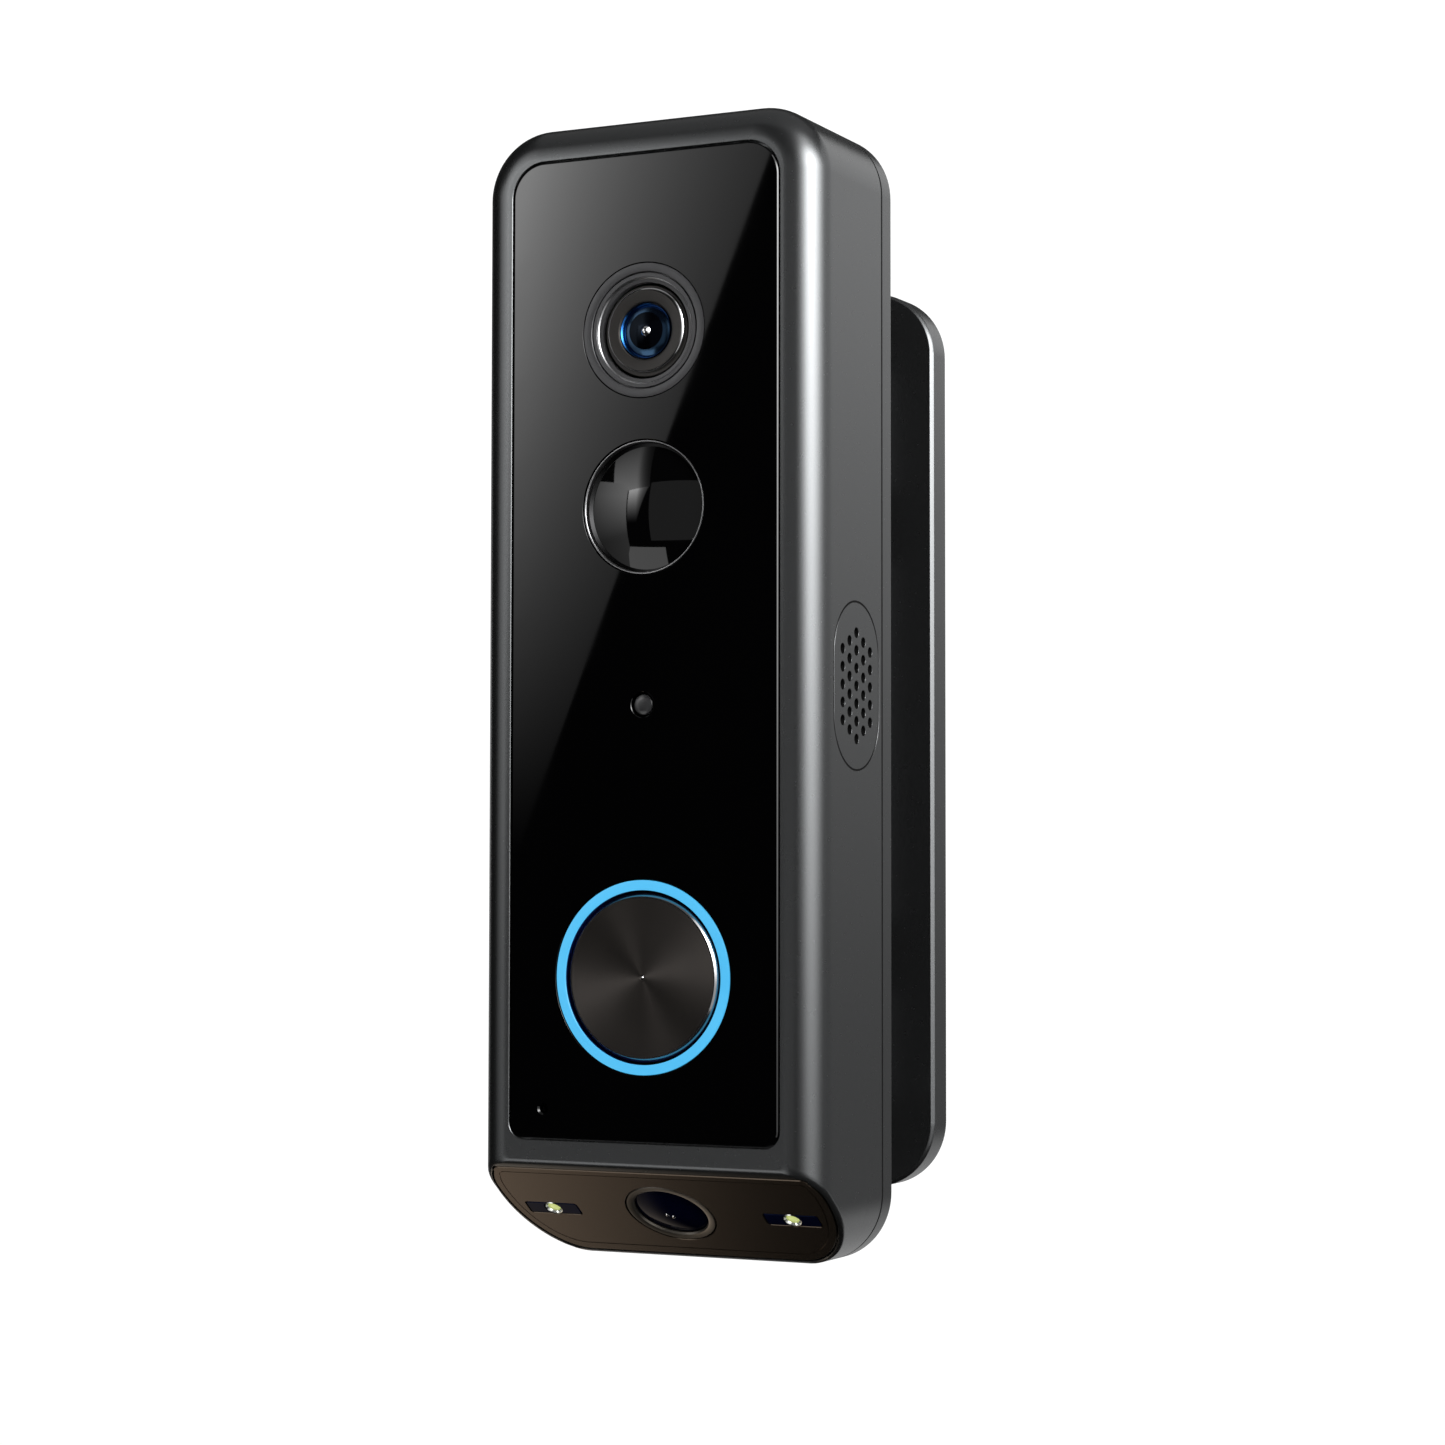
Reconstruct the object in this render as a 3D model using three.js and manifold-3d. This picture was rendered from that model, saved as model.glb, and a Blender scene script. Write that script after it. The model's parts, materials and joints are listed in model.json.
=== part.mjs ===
// A battery video doorbell hanging on its wall bracket.
//
// Units are millimetres, +Z is up, and the front faces -Y. The origin is the centre of the wall plate's
// back face. Inside the doorbell group, depth (Y) runs back from the front glass, height (Z) runs up
// from the lowest edge of the body, and X runs to the right as seen from the front.

import * as THREE from 'three';
import { mergeVertices } from 'three/addons/utils/BufferGeometryUtils.js';
import Module from 'manifold-3d';

const wasm = await Module();
wasm.setup();

// ---------------------------------------------------------------- driving dimensions

const GAP = 0.3;                    // clearance between pieces that touch on the real doorbell
const CORNER_STEPS = 6;             // facets in each quarter-round corner
const LARGE_ROUND = 40;             // facets round a large circle
const MEDIUM_ROUND = 24;            // facets round a medium circle
const SMALL_ROUND = 12;             // facets round a small circle

const body = {
  height: 150, halfWidth: 24.7, depth: 24.6, cornerRadius: 9.1,
  frontRounding: 4.65,              // radius of the rounded edge round the front face
  seamDepth: 20.95,                 // depth of the joint line between front shell and back cover
  seamGap: 0.4,
  wall: 2,
  frontWall: 2.2,                   // thickness of the front wall under the glass
};

const glass = {
  halfWidth: 19.34, bottom: 16.47, top: 144.8, topRadius: 4.5, bottomRadius: 2,
  thickness: 1.1, seatDepth: 1.4, seatWidth: 1.5,
};

const chin = {
  slant: THREE.MathUtils.degToRad(38),   // angle of the chin below the horizontal
  creaseDepth: 0.5, creaseHeight: 12.7,
  panelInset: 0.9, panelThickness: 1.2, recessDepth: 1.5, wallDepth: 3.4,
  frontEdge: 0.6,                   // distance from the crease to the panel's front edge
};

const camera = {
  height: 121.6, bezelRadius: 8.8, bezelBack: 1.5, ringRadius: 7.5, grooveRadius: 6.5, grooveDepth: 0.55,
  barrelRadius: 6, barrelFront: 0.3, barrelBack: 7.6, lensRadius: 3.7, lensSeat: 3,
};
const pir = {
  height: 98.5, ringRadius: 8.75, ringBack: 2.6, lensRadius: 8, lensBack: 2.4, dome: 1.2, rimDepth: 0.7,
  canRadius: 4.1, canFlange: 4.6, canFront: 4.6, canFlangeFront: 8.2,
};
const lightSensor = { height: 72.8, windowRadius: 1.36, holeRadius: 1.66 };
const microphone = { x: -14.5, height: 20.3, holeRadius: 0.65 };

const button = {
  height: 37.57, capRadius: 10.8, ringInner: 11.26, ringOuter: 12.56,
  chamfer: 0.6, capThickness: 2.2, stemRadius: 3, stemEnd: 5.2, travel: 0.8,
};

const lowerCamera = { distance: 10, ringRadius: 6.1, lensRadius: 4.94, moduleHalf: 4.8, moduleEnd: 9.5 };
const chinLight = { x: 17.5, distance: 10.1, windowLength: 7.6, windowHeight: 2.4, ledRadius: 1.2 };

const grille = {
  depth: 12.6, height: 75.3, halfWidth: 7.35, halfHeight: 11.1, thickness: 1.4, recessDepth: 1.7,
  holeRadius: 0.65, holeDepthPitch: 2.19, holeHeightPitch: 2.3, holesPerColumn: [5, 6, 7, 6, 5],
};

const board = { front: 9, back: 10, halfWidth: 16.2, bottom: 18.6, top: 146 };
const processor = { halfWidth: 9, front: 6.6, bottom: 53, top: 67 };
const antenna = { left: -22.4, right: -22, front: 5, back: 16, bottom: 90, top: 128 };
const componentBack = board.front - GAP;    // depth of the rear face of whatever sits on the board's front

const battery = { left: -19.5, right: 11.3, bottom: 33.5, top: 102.5, front: 11.9, back: 19.9 };
const cover = { floor: 22, boreDepth: 23.1, post: { x: 19.7, heights: [22, 138], radius: 3.1 } };

const port = {
  bottom: 129, top: 139.6, halfWidth: 13, recess: 23.4,
  socketX: -5, resetX: 7, socketHeight: 135, boardDepth: 13, boardBottom: 128, boardTop: 141,
};

const bracket = {
  front: 37.85, back: 42.7, halfWidth: 25, bottom: 8.3, top: 131.1, radius: 9, bevel: 0.42,
  blockHalfWidth: 15, blockBottom: 16, blockTop: 124, blockRadius: 5,
  hookHeights: [22, 112], hookHalfWidth: 6, hookThickness: 3, hookRise: 5, hookTip: 2,
  hookDrop: 6.4,                    // room under a hook for the doorbell to lift off
  clear: 0.4,                       // gap round the block and its hooks
  wallHoleOffset: 30, wallHoleRadius: 2.4, channelHalf: 5.2, channelWeb: 2.2,
  blockScrew: { x: 9.5, offset: 45, headDepth: 2.2, headBore: 3.1, shankBore: 1.6, length: 4 },
};
const bracketMiddle = (bracket.bottom + bracket.top) / 2;

// ---------------------------------------------------------------- materials

function material(color, roughness, metalness) {
  return new THREE.MeshStandardMaterial({ color, roughness, metalness });
}

const graphite = material(0x55585a, 0.45, 0.6);
const blackGlass = material(0x050506, 0.05, 0);
const darkPlastic = material(0x1c1d1f, 0.5, 0);
const glossBlack = material(0x0a0a0b, 0.08, 0);
const darkMetal = material(0x3a3a3c, 0.3, 0.9);
const steel = material(0x9a9c9e, 0.3, 1);
const lensGlass = material(0x101a30, 0.03, 0);
const ringLight = material(0x4fc4f5, 0.3, 0);
const greenBoard = material(0x12492f, 0.5, 0);
const chipBlack = material(0x17181a, 0.5, 0);
const silicone = material(0x2a2b2d, 0.8, 0);
const brownPanel = material(0x4a4038, 0.5, 0.3);
const yellowLed = material(0xd9e07a, 0.3, 0);
const batteryWrap = material(0x2d5fa8, 0.4, 0);
const copperFilm = material(0xb06a30, 0.4, 0.6);
const whitePlastic = material(0xe6e4dd, 0.5, 0);
const redWire = material(0xa02020, 0.5, 0);

// ---------------------------------------------------------------- geometry helpers

function solid(geometry) {
  const bare = geometry.clone();
  bare.deleteAttribute('normal');
  bare.deleteAttribute('uv');
  const merged = mergeVertices(bare, 1e-4);
  const vertProperties = new Float32Array(merged.attributes.position.array);
  const triVerts = new Uint32Array(merged.index.array);
  return new wasm.Manifold(new wasm.Mesh({ numProp: 3, vertProperties, triVerts }));
}

function geometryOf(manifold) {
  const mesh = manifold.getMesh();
  const geometry = new THREE.BufferGeometry();
  geometry.setAttribute('position', new THREE.BufferAttribute(new Float32Array(mesh.vertProperties), 3));
  geometry.setIndex(new THREE.BufferAttribute(new Uint32Array(mesh.triVerts), 1));
  geometry.computeVertexNormals();
  return geometry;
}

function cut(from, ...tools) {
  return tools.reduce((rest, tool) => rest.subtract(tool), from);
}

function join(first, ...others) {
  return others.reduce((whole, other) => whole.add(other), first);
}

// Points round a rectangle with round corners, anticlockwise in the X-Z plane as seen from the front.
function roundedRectangle({ left, right, bottom, top, bottomRadius, topRadius }) {
  const corners = [
    { x: right - bottomRadius, z: bottom + bottomRadius, radius: bottomRadius, start: -Math.PI / 2 },
    { x: right - topRadius, z: top - topRadius, radius: topRadius, start: 0 },
    { x: left + topRadius, z: top - topRadius, radius: topRadius, start: Math.PI / 2 },
    { x: left + bottomRadius, z: bottom + bottomRadius, radius: bottomRadius, start: Math.PI },
  ];
  const points = [];
  for (const corner of corners) {
    for (let step = 0; step <= CORNER_STEPS; step += 1) {
      const angle = corner.start + (Math.PI / 2) * (step / CORNER_STEPS);
      const x = corner.x + corner.radius * Math.cos(angle);
      const z = corner.z + corner.radius * Math.sin(angle);
      points.push(new THREE.Vector2(x, z));
    }
  }
  return points;
}

function symmetricRectangle(halfWidth, bottom, top, radius) {
  return roundedRectangle({
    left: -halfWidth, right: halfWidth, bottom, top, bottomRadius: radius, topRadius: radius,
  });
}

function circle(x, z, radius, steps) {
  const points = [];
  for (let step = 0; step < steps; step += 1) {
    const angle = (2 * Math.PI * step) / steps;
    points.push(new THREE.Vector2(x + radius * Math.cos(angle), z + radius * Math.sin(angle)));
  }
  return points;
}

// Points round an upright oblong with half-circle ends.
function stadium(x, z, halfWidth, halfHeight) {
  const points = [];
  for (const end of [1, -1]) {
    for (let step = 0; step <= 2 * CORNER_STEPS; step += 1) {
      const angle = (end > 0 ? 0 : Math.PI) + Math.PI * (step / (2 * CORNER_STEPS));
      const centreZ = z + end * (halfHeight - halfWidth);
      points.push(new THREE.Vector2(x + halfWidth * Math.cos(angle), centreZ + halfWidth * Math.sin(angle)));
    }
  }
  return points;
}

// An X-Z outline, with holes, extruded over a range of depth.
function slab(outline, front, back, holes = []) {
  const shape = new THREE.Shape(outline);
  for (const hole of holes) {
    shape.holes.push(new THREE.Path(hole));
  }
  const geometry = new THREE.ExtrudeGeometry(shape, { depth: back - front, bevelEnabled: false });
  geometry.rotateX(Math.PI / 2);
  geometry.translate(0, back, 0);
  return geometry;
}

// A depth-height outline extruded sideways from -halfWidth to +halfWidth.
function sidewaysSlab(outline, halfWidth) {
  const geometry = new THREE.ExtrudeGeometry(new THREE.Shape(outline), {
    depth: 2 * halfWidth, bevelEnabled: false,
  });
  geometry.rotateX(Math.PI / 2);
  geometry.rotateZ(Math.PI / 2);
  geometry.translate(-halfWidth, 0, 0);
  return geometry;
}

function box(left, right, front, back, bottom, top) {
  const geometry = new THREE.BoxGeometry(right - left, back - front, top - bottom);
  geometry.translate((left + right) / 2, (front + back) / 2, (bottom + top) / 2);
  return geometry;
}

// A closed profile of [radius, depth] pairs turned about the depth axis through (x, z).
function turned(profile, x, z, steps) {
  const points = profile.map(([radius, depth]) => new THREE.Vector2(radius, depth));
  const geometry = new THREE.LatheGeometry(points, steps);
  geometry.translate(x, 0, z);
  return geometry;
}

function disc(x, z, radius, front, back, steps) {
  return turned([[0, front], [radius, front], [radius, back], [0, back]], x, z, steps);
}

function tubeRing(x, z, inner, outer, front, back, steps) {
  return turned([[outer, front], [outer, back], [inner, back], [inner, front], [outer, front]], x, z, steps);
}

// A closed solid through a stack of outlines, each at its own depth and all with the same point count.
function stack(sections) {
  const count = sections[0].outline.length;
  const positions = [];
  for (const { depth, outline } of sections) {
    for (const point of outline) {
      positions.push(point.x, depth, point.y);
    }
  }
  const index = [];
  for (let i = 1; i < count - 1; i += 1) {
    index.push(0, i, i + 1);
    const last = (sections.length - 1) * count;
    index.push(last, last + i + 1, last + i);
  }
  for (let row = 0; row < sections.length - 1; row += 1) {
    for (let i = 0; i < count; i += 1) {
      const a = row * count + i;
      const b = row * count + ((i + 1) % count);
      index.push(a, a + count, b + count);
      index.push(a, b + count, b);
    }
  }
  const geometry = new THREE.BufferGeometry();
  geometry.setAttribute('position', new THREE.Float32BufferAttribute(positions, 3));
  geometry.setIndex(index);
  geometry.computeVertexNormals();
  return geometry;
}

// The body's outline drawn in by a distance on every side.
function bodyOutline(inset) {
  return symmetricRectangle(
    body.halfWidth - inset, inset, body.height - inset, body.cornerRadius - inset,
  );
}

// ---------------------------------------------------------------- assembly

const part = new THREE.Group();

const doorbell = new THREE.Group();
doorbell.position.set(0, -bracket.back, -bracketMiddle);
part.add(doorbell);

// In the chin's own frame, depth runs in from the slanted face and height runs up the slope to the crease.
const chinFrame = new THREE.Group();
chinFrame.position.set(0, chin.creaseDepth, chin.creaseHeight);
chinFrame.rotation.x = Math.PI / 2 - chin.slant;
chinFrame.updateMatrix();
doorbell.add(chinFrame);

// In the right side's own frame, X runs back along the body and depth runs in from the side face.
const sideFrame = new THREE.Group();
sideFrame.position.set(body.halfWidth, 0, 0);
sideFrame.rotation.z = Math.PI / 2;
sideFrame.updateMatrix();
doorbell.add(sideFrame);

function place(name, geometry, look, group = doorbell) {
  const mesh = new THREE.Mesh(geometry, look);
  mesh.name = name;
  group.add(mesh);
}

function intoBody(geometry, frame) {
  return solid(geometry.applyMatrix4(frame.matrix));
}

// ---------------------------------------------------------------- front housing

// The body's rounded outline, drawn in at the sides and the bottom, from the front face back to a depth.
function roundedBlank(sideInset, bottomInset, back) {
  const steps = 5;
  const outline = (rounding) => symmetricRectangle(
    body.halfWidth - sideInset - rounding, bottomInset + rounding, body.height - sideInset - rounding,
    body.cornerRadius - sideInset - rounding,
  );
  const sections = [];
  for (let step = 0; step <= steps; step += 1) {
    const angle = (Math.PI / 2) * (step / steps);
    sections.push({
      depth: body.frontRounding * (1 - Math.cos(angle)),
      outline: outline(body.frontRounding * (1 - Math.sin(angle))),
    });
  }
  sections.push({ depth: back, outline: outline(0) });
  return solid(stack(sections));
}

// Everything in front of and below the chin's slanted plane, moved in by a distance.
function belowChin(distance) {
  const reach = 60;
  return intoBody(box(-reach, reach, -reach, distance, -reach, reach), chinFrame);
}

function shellCavity() {
  const frontInset = body.wall + 2.6;
  const cavity = solid(stack([
    { depth: body.frontWall, outline: bodyOutline(frontInset) },
    { depth: body.frontWall + frontInset - body.wall, outline: bodyOutline(body.wall) },
    { depth: body.depth, outline: bodyOutline(body.wall) },
  ]));
  return cut(cavity, belowChin(chin.wallDepth));
}

function glassOutline(margin) {
  return roundedRectangle({
    left: -glass.halfWidth - margin, right: glass.halfWidth + margin,
    bottom: glass.bottom - margin, top: glass.top + margin,
    bottomRadius: glass.bottomRadius + margin, topRadius: glass.topRadius + margin,
  });
}

function glassWindow() {
  const inset = glass.seatWidth;
  return symmetricRectangle(glass.halfWidth - inset, glass.bottom + inset, glass.top - inset, 3);
}

// A layer of the chin between two distances in from its slanted face, inside the body's outline.
function chinLayer(inset, front, back, frontEdge) {
  const reach = 60;
  const layer = intoBody(box(-reach, reach, front, back, -reach, -frontEdge), chinFrame);
  return roundedBlank(inset, inset / 2, body.depth).intersect(layer);
}

function grilleOutline(inset) {
  return stadium(grille.depth, grille.height, grille.halfWidth - inset, grille.halfHeight - inset);
}

function screwPosts(radius, front, back) {
  const posts = [];
  for (const side of [-1, 1]) {
    for (const height of cover.post.heights) {
      posts.push(solid(disc(side * cover.post.x, height, radius, front, back, SMALL_ROUND)));
    }
  }
  return posts;
}

function frontHousing() {
  const postEnd = 19;
  const screwEnd = 11.5;
  const screwHoleRadius = 1.4;
  const ledgeWidth = 1.45;
  const chinLedge = { halfWidth: 21.7, near: 7.3, far: 12.9 };
  const chinRound = { halfWidth: 7, near: 3.6, far: 16.4 };
  const outer = roundedBlank(0, 0, body.seamDepth - body.seamGap / 2);
  const hollowShell = cut(outer, shellCavity());
  const withPosts = join(hollowShell, ...screwPosts(cover.post.radius, body.wall + 2, postEnd));
  return cut(
    withPosts,
    belowChin(0),
    solid(slab(glassOutline(GAP), -1, glass.seatDepth)),
    solid(slab(glassWindow(), -1, body.frontWall + 1)),
    chinLayer(chin.panelInset - GAP, -1, chin.recessDepth, chin.frontEdge - GAP),
    intoBody(
      box(-chinLedge.halfWidth, chinLedge.halfWidth, 0, chin.wallDepth + 1, -chinLedge.far, -chinLedge.near),
      chinFrame,
    ),
    intoBody(
      box(-chinRound.halfWidth, chinRound.halfWidth, 0, chin.wallDepth + 1, -chinRound.far, -chinRound.near),
      chinFrame,
    ),
    intoBody(slab(grilleOutline(0), -1, grille.recessDepth), sideFrame),
    intoBody(slab(grilleOutline(ledgeWidth), -1, body.wall + 1), sideFrame),
    ...screwPosts(screwHoleRadius, screwEnd, body.depth),
  );
}

place('front_housing', geometryOf(frontHousing()), graphite);

// ---------------------------------------------------------------- front glass and what shows through it

place('front_glass', slab(glassOutline(0), 0, glass.thickness, [
  circle(0, camera.height, camera.bezelRadius + GAP, LARGE_ROUND),
  circle(0, pir.height, pir.ringRadius + GAP, LARGE_ROUND),
  circle(0, lightSensor.height, lightSensor.holeRadius, SMALL_ROUND),
  circle(0, button.height, button.ringOuter + GAP, LARGE_ROUND),
  circle(microphone.x, microphone.height, microphone.holeRadius, SMALL_ROUND),
]), blackGlass);

function cameraParts() {
  const bezel = turned([
    [camera.bezelRadius, 0], [camera.bezelRadius, camera.bezelBack], [camera.grooveRadius, camera.bezelBack],
    [camera.grooveRadius, camera.grooveDepth], [camera.ringRadius, 0.1], [camera.bezelRadius, 0],
  ], 0, camera.height, LARGE_ROUND);
  place('camera_bezel', bezel, darkMetal);

  const seatRadius = camera.lensRadius + GAP;
  const barrel = turned([
    [0, camera.lensSeat], [seatRadius, camera.lensSeat], [seatRadius, camera.barrelFront],
    [camera.barrelRadius - 0.3, camera.barrelFront], [camera.barrelRadius, camera.barrelFront + 0.3],
    [camera.barrelRadius, camera.barrelBack], [0, camera.barrelBack],
  ], 0, camera.height, MEDIUM_ROUND);
  place('camera_barrel', barrel, darkMetal);

  const lens = turned([
    [0, -0.3], [1.5, -0.15], [2.8, 0.15], [camera.lensRadius, 0.6],
    [camera.lensRadius, camera.lensSeat - GAP], [0, camera.lensSeat - GAP],
  ], 0, camera.height, MEDIUM_ROUND);
  place('camera_lens', lens, lensGlass);

  const boardHalf = 8;
  const cameraBoard = box(
    -boardHalf, boardHalf, camera.barrelBack + GAP, componentBack,
    camera.height - boardHalf, camera.height + boardHalf,
  );
  place('camera_board', cameraBoard, greenBoard);
}

// A shallow dome: [radius, depth] pairs from the axis out to the rim.
function domeProfile(radius, rise, rimDepth, steps) {
  const points = [];
  for (let step = 0; step <= steps; step += 1) {
    const reach = step / steps;
    points.push([radius * reach, rimDepth - rise * (1 - reach * reach)]);
  }
  return points;
}

function motionSensorParts() {
  const shell = 0.8;
  const inner = pir.lensRadius + GAP;
  place('pir_trim_ring', tubeRing(0, pir.height, inner, pir.ringRadius, 0, pir.ringBack, LARGE_ROUND), steel);

  const outside = domeProfile(pir.lensRadius, pir.dome, pir.rimDepth, 5);
  const inside = domeProfile(pir.lensRadius - shell, pir.dome, pir.rimDepth + shell, 5).reverse();
  const lens = turned(
    [...outside, [pir.lensRadius, pir.lensBack], [pir.lensRadius - shell, pir.lensBack], ...inside],
    0, pir.height, MEDIUM_ROUND,
  );
  place('pir_lens', lens, glossBlack);

  const can = turned([
    [0, pir.canFront], [pir.canRadius, pir.canFront], [pir.canRadius, pir.canFlangeFront],
    [pir.canFlange, pir.canFlangeFront], [pir.canFlange, componentBack], [0, componentBack],
  ], 0, pir.height, MEDIUM_ROUND);
  place('pir_sensor', can, steel);
}

function lightSensorParts() {
  const windowDisc = disc(0, lightSensor.height, lightSensor.windowRadius, 0.1, glass.thickness, SMALL_ROUND);
  place('sensor_window', windowDisc, darkPlastic);
  const half = 1;
  const chip = box(-half, half, 7.5, componentBack, lightSensor.height - half, lightSensor.height + half);
  place('light_sensor', chip, chipBlack);
}

function microphoneParts() {
  const canFront = 7.6;
  const can = box(
    microphone.x - 1.5, microphone.x + 1.5, canFront, componentBack,
    microphone.height - 1.4, microphone.height + 1.4,
  );
  place('microphone', can, steel);
  const boot = tubeRing(
    microphone.x, microphone.height, 0.7, 1.8, glass.thickness + GAP, canFront - GAP, SMALL_ROUND,
  );
  place('microphone_boot', boot, silicone);
}

cameraParts();
motionSensorParts();
lightSensorParts();
microphoneParts();

// ---------------------------------------------------------------- push button and its light ring

function buttonParts() {
  const ringDepth = 4.6;
  const ring = tubeRing(0, button.height, button.ringInner, button.ringOuter, 0, ringDepth, LARGE_ROUND);
  place('light_ring', ring, ringLight);

  const cap = turned([
    [0, 0], [button.capRadius - button.chamfer, 0], [button.capRadius, button.chamfer],
    [button.capRadius, button.capThickness], [button.stemRadius, button.capThickness],
    [button.stemRadius, button.stemEnd], [0, button.stemEnd],
  ], 0, button.height, LARGE_ROUND);
  place('button_cap', cap, darkMetal);

  const sealFront = button.capThickness + button.travel + 0.4;
  const seal = tubeRing(
    0, button.height, button.stemRadius + 0.4, button.capRadius + 0.1,
    sealFront, sealFront + 0.8, MEDIUM_ROUND,
  );
  place('button_seal', seal, silicone);

  const switchHalf = 3;
  const switchFront = button.stemEnd + button.travel + 0.2;
  const caseFront = switchFront + 1;
  const switchCase = solid(box(
    -switchHalf, switchHalf, caseFront, componentBack, button.height - switchHalf, button.height + switchHalf,
  ));
  const plunger = solid(disc(0, button.height, 1.7, switchFront, caseFront + 0.2, SMALL_ROUND));
  place('button_switch', geometryOf(join(switchCase, plunger)), chipBlack);

  const ledHalf = 0.8;
  const ledCircle = (button.ringInner + button.ringOuter) / 2;
  for (let quarter = 0; quarter < 4; quarter += 1) {
    const angle = Math.PI / 4 + (Math.PI / 2) * quarter;
    const x = ledCircle * Math.cos(angle);
    const z = button.height + ledCircle * Math.sin(angle);
    const lamp = box(x - ledHalf, x + ledHalf, 7.9, componentBack, z - ledHalf, z + ledHalf);
    place(`ring_led_${quarter + 1}`, lamp, whitePlastic);
  }
}

buttonParts();

// ---------------------------------------------------------------- main board, battery and radio

function mainBoardOutline() {
  const notch = { edge: 13.3, bottom: 63, top: 87.6 };
  return [
    new THREE.Vector2(-board.halfWidth, board.bottom),
    new THREE.Vector2(board.halfWidth, board.bottom),
    new THREE.Vector2(board.halfWidth, notch.bottom),
    new THREE.Vector2(notch.edge, notch.bottom),
    new THREE.Vector2(notch.edge, notch.top),
    new THREE.Vector2(board.halfWidth, notch.top),
    new THREE.Vector2(board.halfWidth, board.top),
    new THREE.Vector2(-board.halfWidth, board.top),
  ];
}

function electronics() {
  place('main_board', slab(mainBoardOutline(), board.front, board.back), greenBoard);
  place('processor_shield', box(
    -processor.halfWidth, processor.halfWidth, processor.front, componentBack,
    processor.bottom, processor.top,
  ), steel);
  place('antenna', box(
    antenna.left, antenna.right, antenna.front, antenna.back, antenna.bottom, antenna.top,
  ), copperFilm);
}

function batteryParts() {
  const wall = 1.1;
  const radius = 2;
  const trayFront = board.back + 0.4;
  const trayOutline = roundedRectangle({
    left: battery.left - GAP - wall, right: battery.right + GAP + wall,
    bottom: battery.bottom - GAP - wall, top: battery.top + GAP + wall,
    bottomRadius: radius, topRadius: radius,
  });
  const pocketOutline = roundedRectangle({
    left: battery.left - GAP, right: battery.right + GAP,
    bottom: battery.bottom - GAP, top: battery.top + GAP,
    bottomRadius: radius - wall, topRadius: radius - wall,
  });
  const leadX = -13;
  const leadNotch = box(leadX - 2.5, leadX + 2.5, 12, battery.back + 1, battery.top, battery.top + 3);
  const tray = cut(
    solid(slab(trayOutline, trayFront, battery.back)),
    solid(slab(pocketOutline, battery.front - GAP, battery.back + 1)),
    solid(leadNotch),
  );
  place('battery_tray', geometryOf(tray), darkPlastic);

  const pack = roundedRectangle({
    left: battery.left, right: battery.right, bottom: battery.bottom, top: battery.top,
    bottomRadius: radius, topRadius: radius,
  });
  place('battery_pack', slab(pack, battery.front, battery.back), batteryWrap);

  const connector = { half: 3, front: trayFront, back: trayFront + 3, bottom: 112, top: 116.5 };
  place('battery_connector', box(
    leadX - connector.half, leadX + connector.half, connector.front, connector.back,
    connector.bottom, connector.top,
  ), whitePlastic);

  const leadRadius = 0.9;
  const leadStart = battery.top + GAP;
  const leadEnd = connector.bottom - GAP;
  const leadMiddle = (leadStart + leadEnd) / 2;
  const packDepth = 15.5;
  const plugDepth = connector.front + 1.5;
  const route = new THREE.CubicBezierCurve3(
    new THREE.Vector3(leadX, packDepth, leadStart),
    new THREE.Vector3(leadX, packDepth, leadMiddle),
    new THREE.Vector3(leadX, plugDepth, leadMiddle),
    new THREE.Vector3(leadX, plugDepth, leadEnd),
  );
  const lead = new THREE.ExtrudeGeometry(new THREE.Shape(circle(0, 0, leadRadius, 8)), {
    steps: 8, extrudePath: route, bevelEnabled: false,
  });
  place('battery_lead', lead, redWire);
}

electronics();
batteryParts();

// ---------------------------------------------------------------- chin: lower camera and two lights

function chinPanel() {
  const holes = [intoBody(
    disc(0, -lowerCamera.distance, lowerCamera.ringRadius + GAP, -1, 4, LARGE_ROUND), chinFrame,
  )];
  for (const side of [-1, 1]) {
    holes.push(intoBody(lightWindow(side, GAP, -1, 4), chinFrame));
  }
  return cut(chinLayer(chin.panelInset, 0, chin.panelThickness, chin.frontEdge), ...holes);
}

function lightWindow(side, margin, front, back) {
  const halfLength = chinLight.windowLength / 2 + margin;
  const halfHeight = chinLight.windowHeight / 2 + margin;
  const middle = -chinLight.distance;
  return box(
    side * chinLight.x - halfLength, side * chinLight.x + halfLength, front, back,
    middle - halfHeight, middle + halfHeight,
  );
}

function chinParts() {
  place('chin_panel', geometryOf(chinPanel()), brownPanel);

  const middle = -lowerCamera.distance;
  const ringBack = 2.9;
  const lensBack = 2.5;
  const ring = tubeRing(
    0, middle, lowerCamera.lensRadius + GAP, lowerCamera.ringRadius, 0, ringBack, LARGE_ROUND,
  );
  place('lower_camera_ring', ring, brownPanel, chinFrame);

  const dome = domeProfile(lowerCamera.lensRadius, 0.6, 0.3, 4);
  const lens = turned(
    [...dome, [lowerCamera.lensRadius, lensBack], [0, lensBack]], 0, middle, MEDIUM_ROUND,
  );
  place('lower_camera_lens', lens, lensGlass, chinFrame);

  const half = lowerCamera.moduleHalf;
  const lowerModule = box(-half, half, ringBack + GAP, lowerCamera.moduleEnd, middle - half, middle + half);
  place('lower_camera_module', lowerModule, chipBlack, chinFrame);

  const windowThickness = 0.9;
  const ledBack = 3.3;
  for (const [side, word] of [[-1, 'left'], [1, 'right']]) {
    const x = side * chinLight.x;
    const height = -chinLight.distance;
    place(`led_window_${word}`, lightWindow(side, 0, 0, windowThickness), lensGlass, chinFrame);
    const lamp = disc(x, height, chinLight.ledRadius, windowThickness + GAP, ledBack, SMALL_ROUND);
    place(`led_${word}`, lamp, yellowLed, chinFrame);
    const lampBoard = box(x - 4, x + 4, ledBack + GAP, ledBack + GAP + 0.8, height - 2, height + 2);
    place(`led_board_${word}`, lampBoard, greenBoard, chinFrame);
  }
}

chinParts();

// ---------------------------------------------------------------- speaker behind the side grille

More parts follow.
